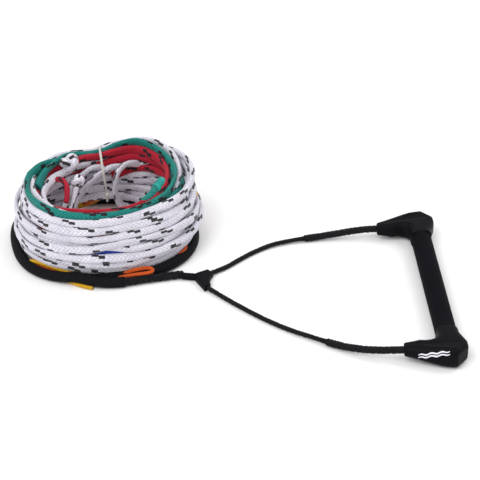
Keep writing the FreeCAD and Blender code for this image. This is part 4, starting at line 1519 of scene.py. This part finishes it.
@dataclass
class Emblem:
    """Three plain waves printed on the flank of the near cap, in two bands."""

    middle: tuple[float, float, float] = (-5.0, -157.5, 19.0)
    length: float = 37.0
    band: float = 2.0
    pitch: float = 3.4
    rise: float = 0.8
    waves: int = 3
    proud: float = 0.22
    slant: float = 0.11
    look: tuple[float, float] = (0.84, -0.54)

    def build(self, cap: bpy.types.Object) -> None:
        """Lays the bands on the cap's surface."""
        skin = BVHTree.FromObject(cap, bpy.context.evaluated_depsgraph_get())
        vertices, faces = [], []
        columns, rows = 72, 5
        for band in range(2):
            first = len(vertices)
            for i in range(columns + 1):
                t = i / columns
                across = (t - 0.5) * self.length
                wave = self.rise * math.sin(2 * math.pi * self.waves * t)
                width = self.band * (0.35 + 0.65 * math.sin(math.pi * t) ** 0.4)
                for j in range(rows):
                    up = ((band - 0.5) * self.pitch + wave + self.slant * across
                          + (j / (rows - 1) - 0.5) * width)
                    x, y, z = self.middle
                    start = Vector((x + across, y - up * self.look[1] - 60 * self.look[0],
                                    z + up * self.look[0] - 60 * self.look[1])) * MM
                    hit, normal, *_ = skin.ray_cast(start, Vector((0, *self.look)))
                    vertices.append(tuple(hit + normal * self.proud * MM))
            faces += [(first + i * rows + j, first + (i + 1) * rows + j, first + (i + 1) * rows + j + 1,
                       first + i * rows + j + 1) for i in range(columns) for j in range(rows - 1)]
        emblem = mesh_object("cap_emblem_print", np.array(vertices), faces, finish_of(Moulding.PRINT))
        solid = emblem.modifiers.new("thick", "SOLIDIFY")
        solid.thickness, solid.offset = 0.5 * MM, -1.0
        apply_modifiers(emblem)
        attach(emblem, "handle")
        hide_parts("cap_emblem")
        LOG.info("%s", emblem.name)


@dataclass
class CadFinish:
    """Dresses the CAD nodes that keep their own shape."""

    dressed: dict[str, Rope | Moulding] = field(default_factory=lambda: {
        "core_tube": Moulding.TUBE, "grip_sleeve": Moulding.GRIP, "tube_plug_far": Moulding.PLUG,
        "tube_plug_near": Moulding.PLUG, "inner_liner": Moulding.LINER,
        "bridle_core_rope": Rope.YARN, "yoke_body": Moulding.YOKE, "yoke_neck": Moulding.YOKE,
        "neck_link": Rope.YARN})

    def build(self) -> None:
        """Gives each node its finish."""
        for node, option in self.dressed.items():
            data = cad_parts[node].data
            data.materials.clear()
            data.materials.append(finish_of(option))


@dataclass
class Studio:
    """Pale floor, soft lights and the camera."""

    camera_at: tuple[float, float, float] = (-0.3296, -1.8208, 1.2507)
    camera_down: float = 0.5659
    camera_turn: float = 0.0525
    lens: float = 127.5
    floor_size: float = 3.0

    def build(self) -> None:
        """Builds the floor, the lights and the camera."""
        self.floor()
        self.lights()
        data = bpy.data.cameras.new("camera")
        data.lens = self.lens
        data.clip_end = 30.0
        camera = bpy.data.objects.new("camera", data)
        camera.location = self.camera_at
        camera.rotation_euler = (math.pi / 2 - self.camera_down, 0.0, -self.camera_turn)
        bpy.context.collection.objects.link(camera)
        bpy.context.scene.camera = camera
        bpy.context.scene.view_settings.view_transform = "Standard"

    def floor(self) -> None:
        """Builds the floor."""
        g = Graph("studio_floor", Roughness=0.9)
        g.put("Base Color", g.blend(g.noise(3.0), rgba((0.88, 0.88, 0.885)), rgba((0.9, 0.9, 0.9))))
        half = self.floor_size
        floor = mesh_object("floor", np.array([(-half, -half, 0), (half, -half, 0), (half, half, 0),
                                               (-half, half, 0)]), [[0, 1, 2, 3]], g.material, False)

    def lights(self) -> None:
        """Builds the even white surround and two soft lamps."""
        world = bpy.data.worlds.new("studio")
        world.use_nodes = True
        world.node_tree.nodes["Background"].inputs["Color"].default_value = (1.0, 1.0, 1.0, 1.0)
        world.node_tree.nodes["Background"].inputs["Strength"].default_value = 0.9
        bpy.context.scene.world = world
        for name, at, size, power in (("key", (-1.4, -1.2, 2.4), 1.6, 38.0), ("fill", (1.6, 0.6, 2.0), 1.4, 16.0)):
            data = bpy.data.lights.new(name, "AREA")
            data.size = size
            data.energy = power
            lamp = bpy.data.objects.new(name, data)
            lamp.location = at
            lamp.rotation_euler = (Vector((-0.2, 0.0, 0.0)) - Vector(at)).to_track_quat("-Z", "Y").to_euler()
            bpy.context.collection.objects.link(lamp)


def main() -> None:
    """Builds every sub-assembly in order."""
    logging.basicConfig(level=logging.INFO, format="%(message)s")
    Studio().build()
    CadFinish().build()
    caps = [EndCap().build(f"end_cap_{name}", side) for name, side in (("far", 1), ("near", -1))]
    Emblem().build(caps[1])
    strands, rows = braid_tree(), row_tree()
    black_line = Leader().build(strands)
    Bridle().build(strands)
    WoundRope().build(black_line)
    CoilEnds().build()
    Whipping().build(rows)
    CableTie().build(rows)


if __name__ == "__main__":
    main()
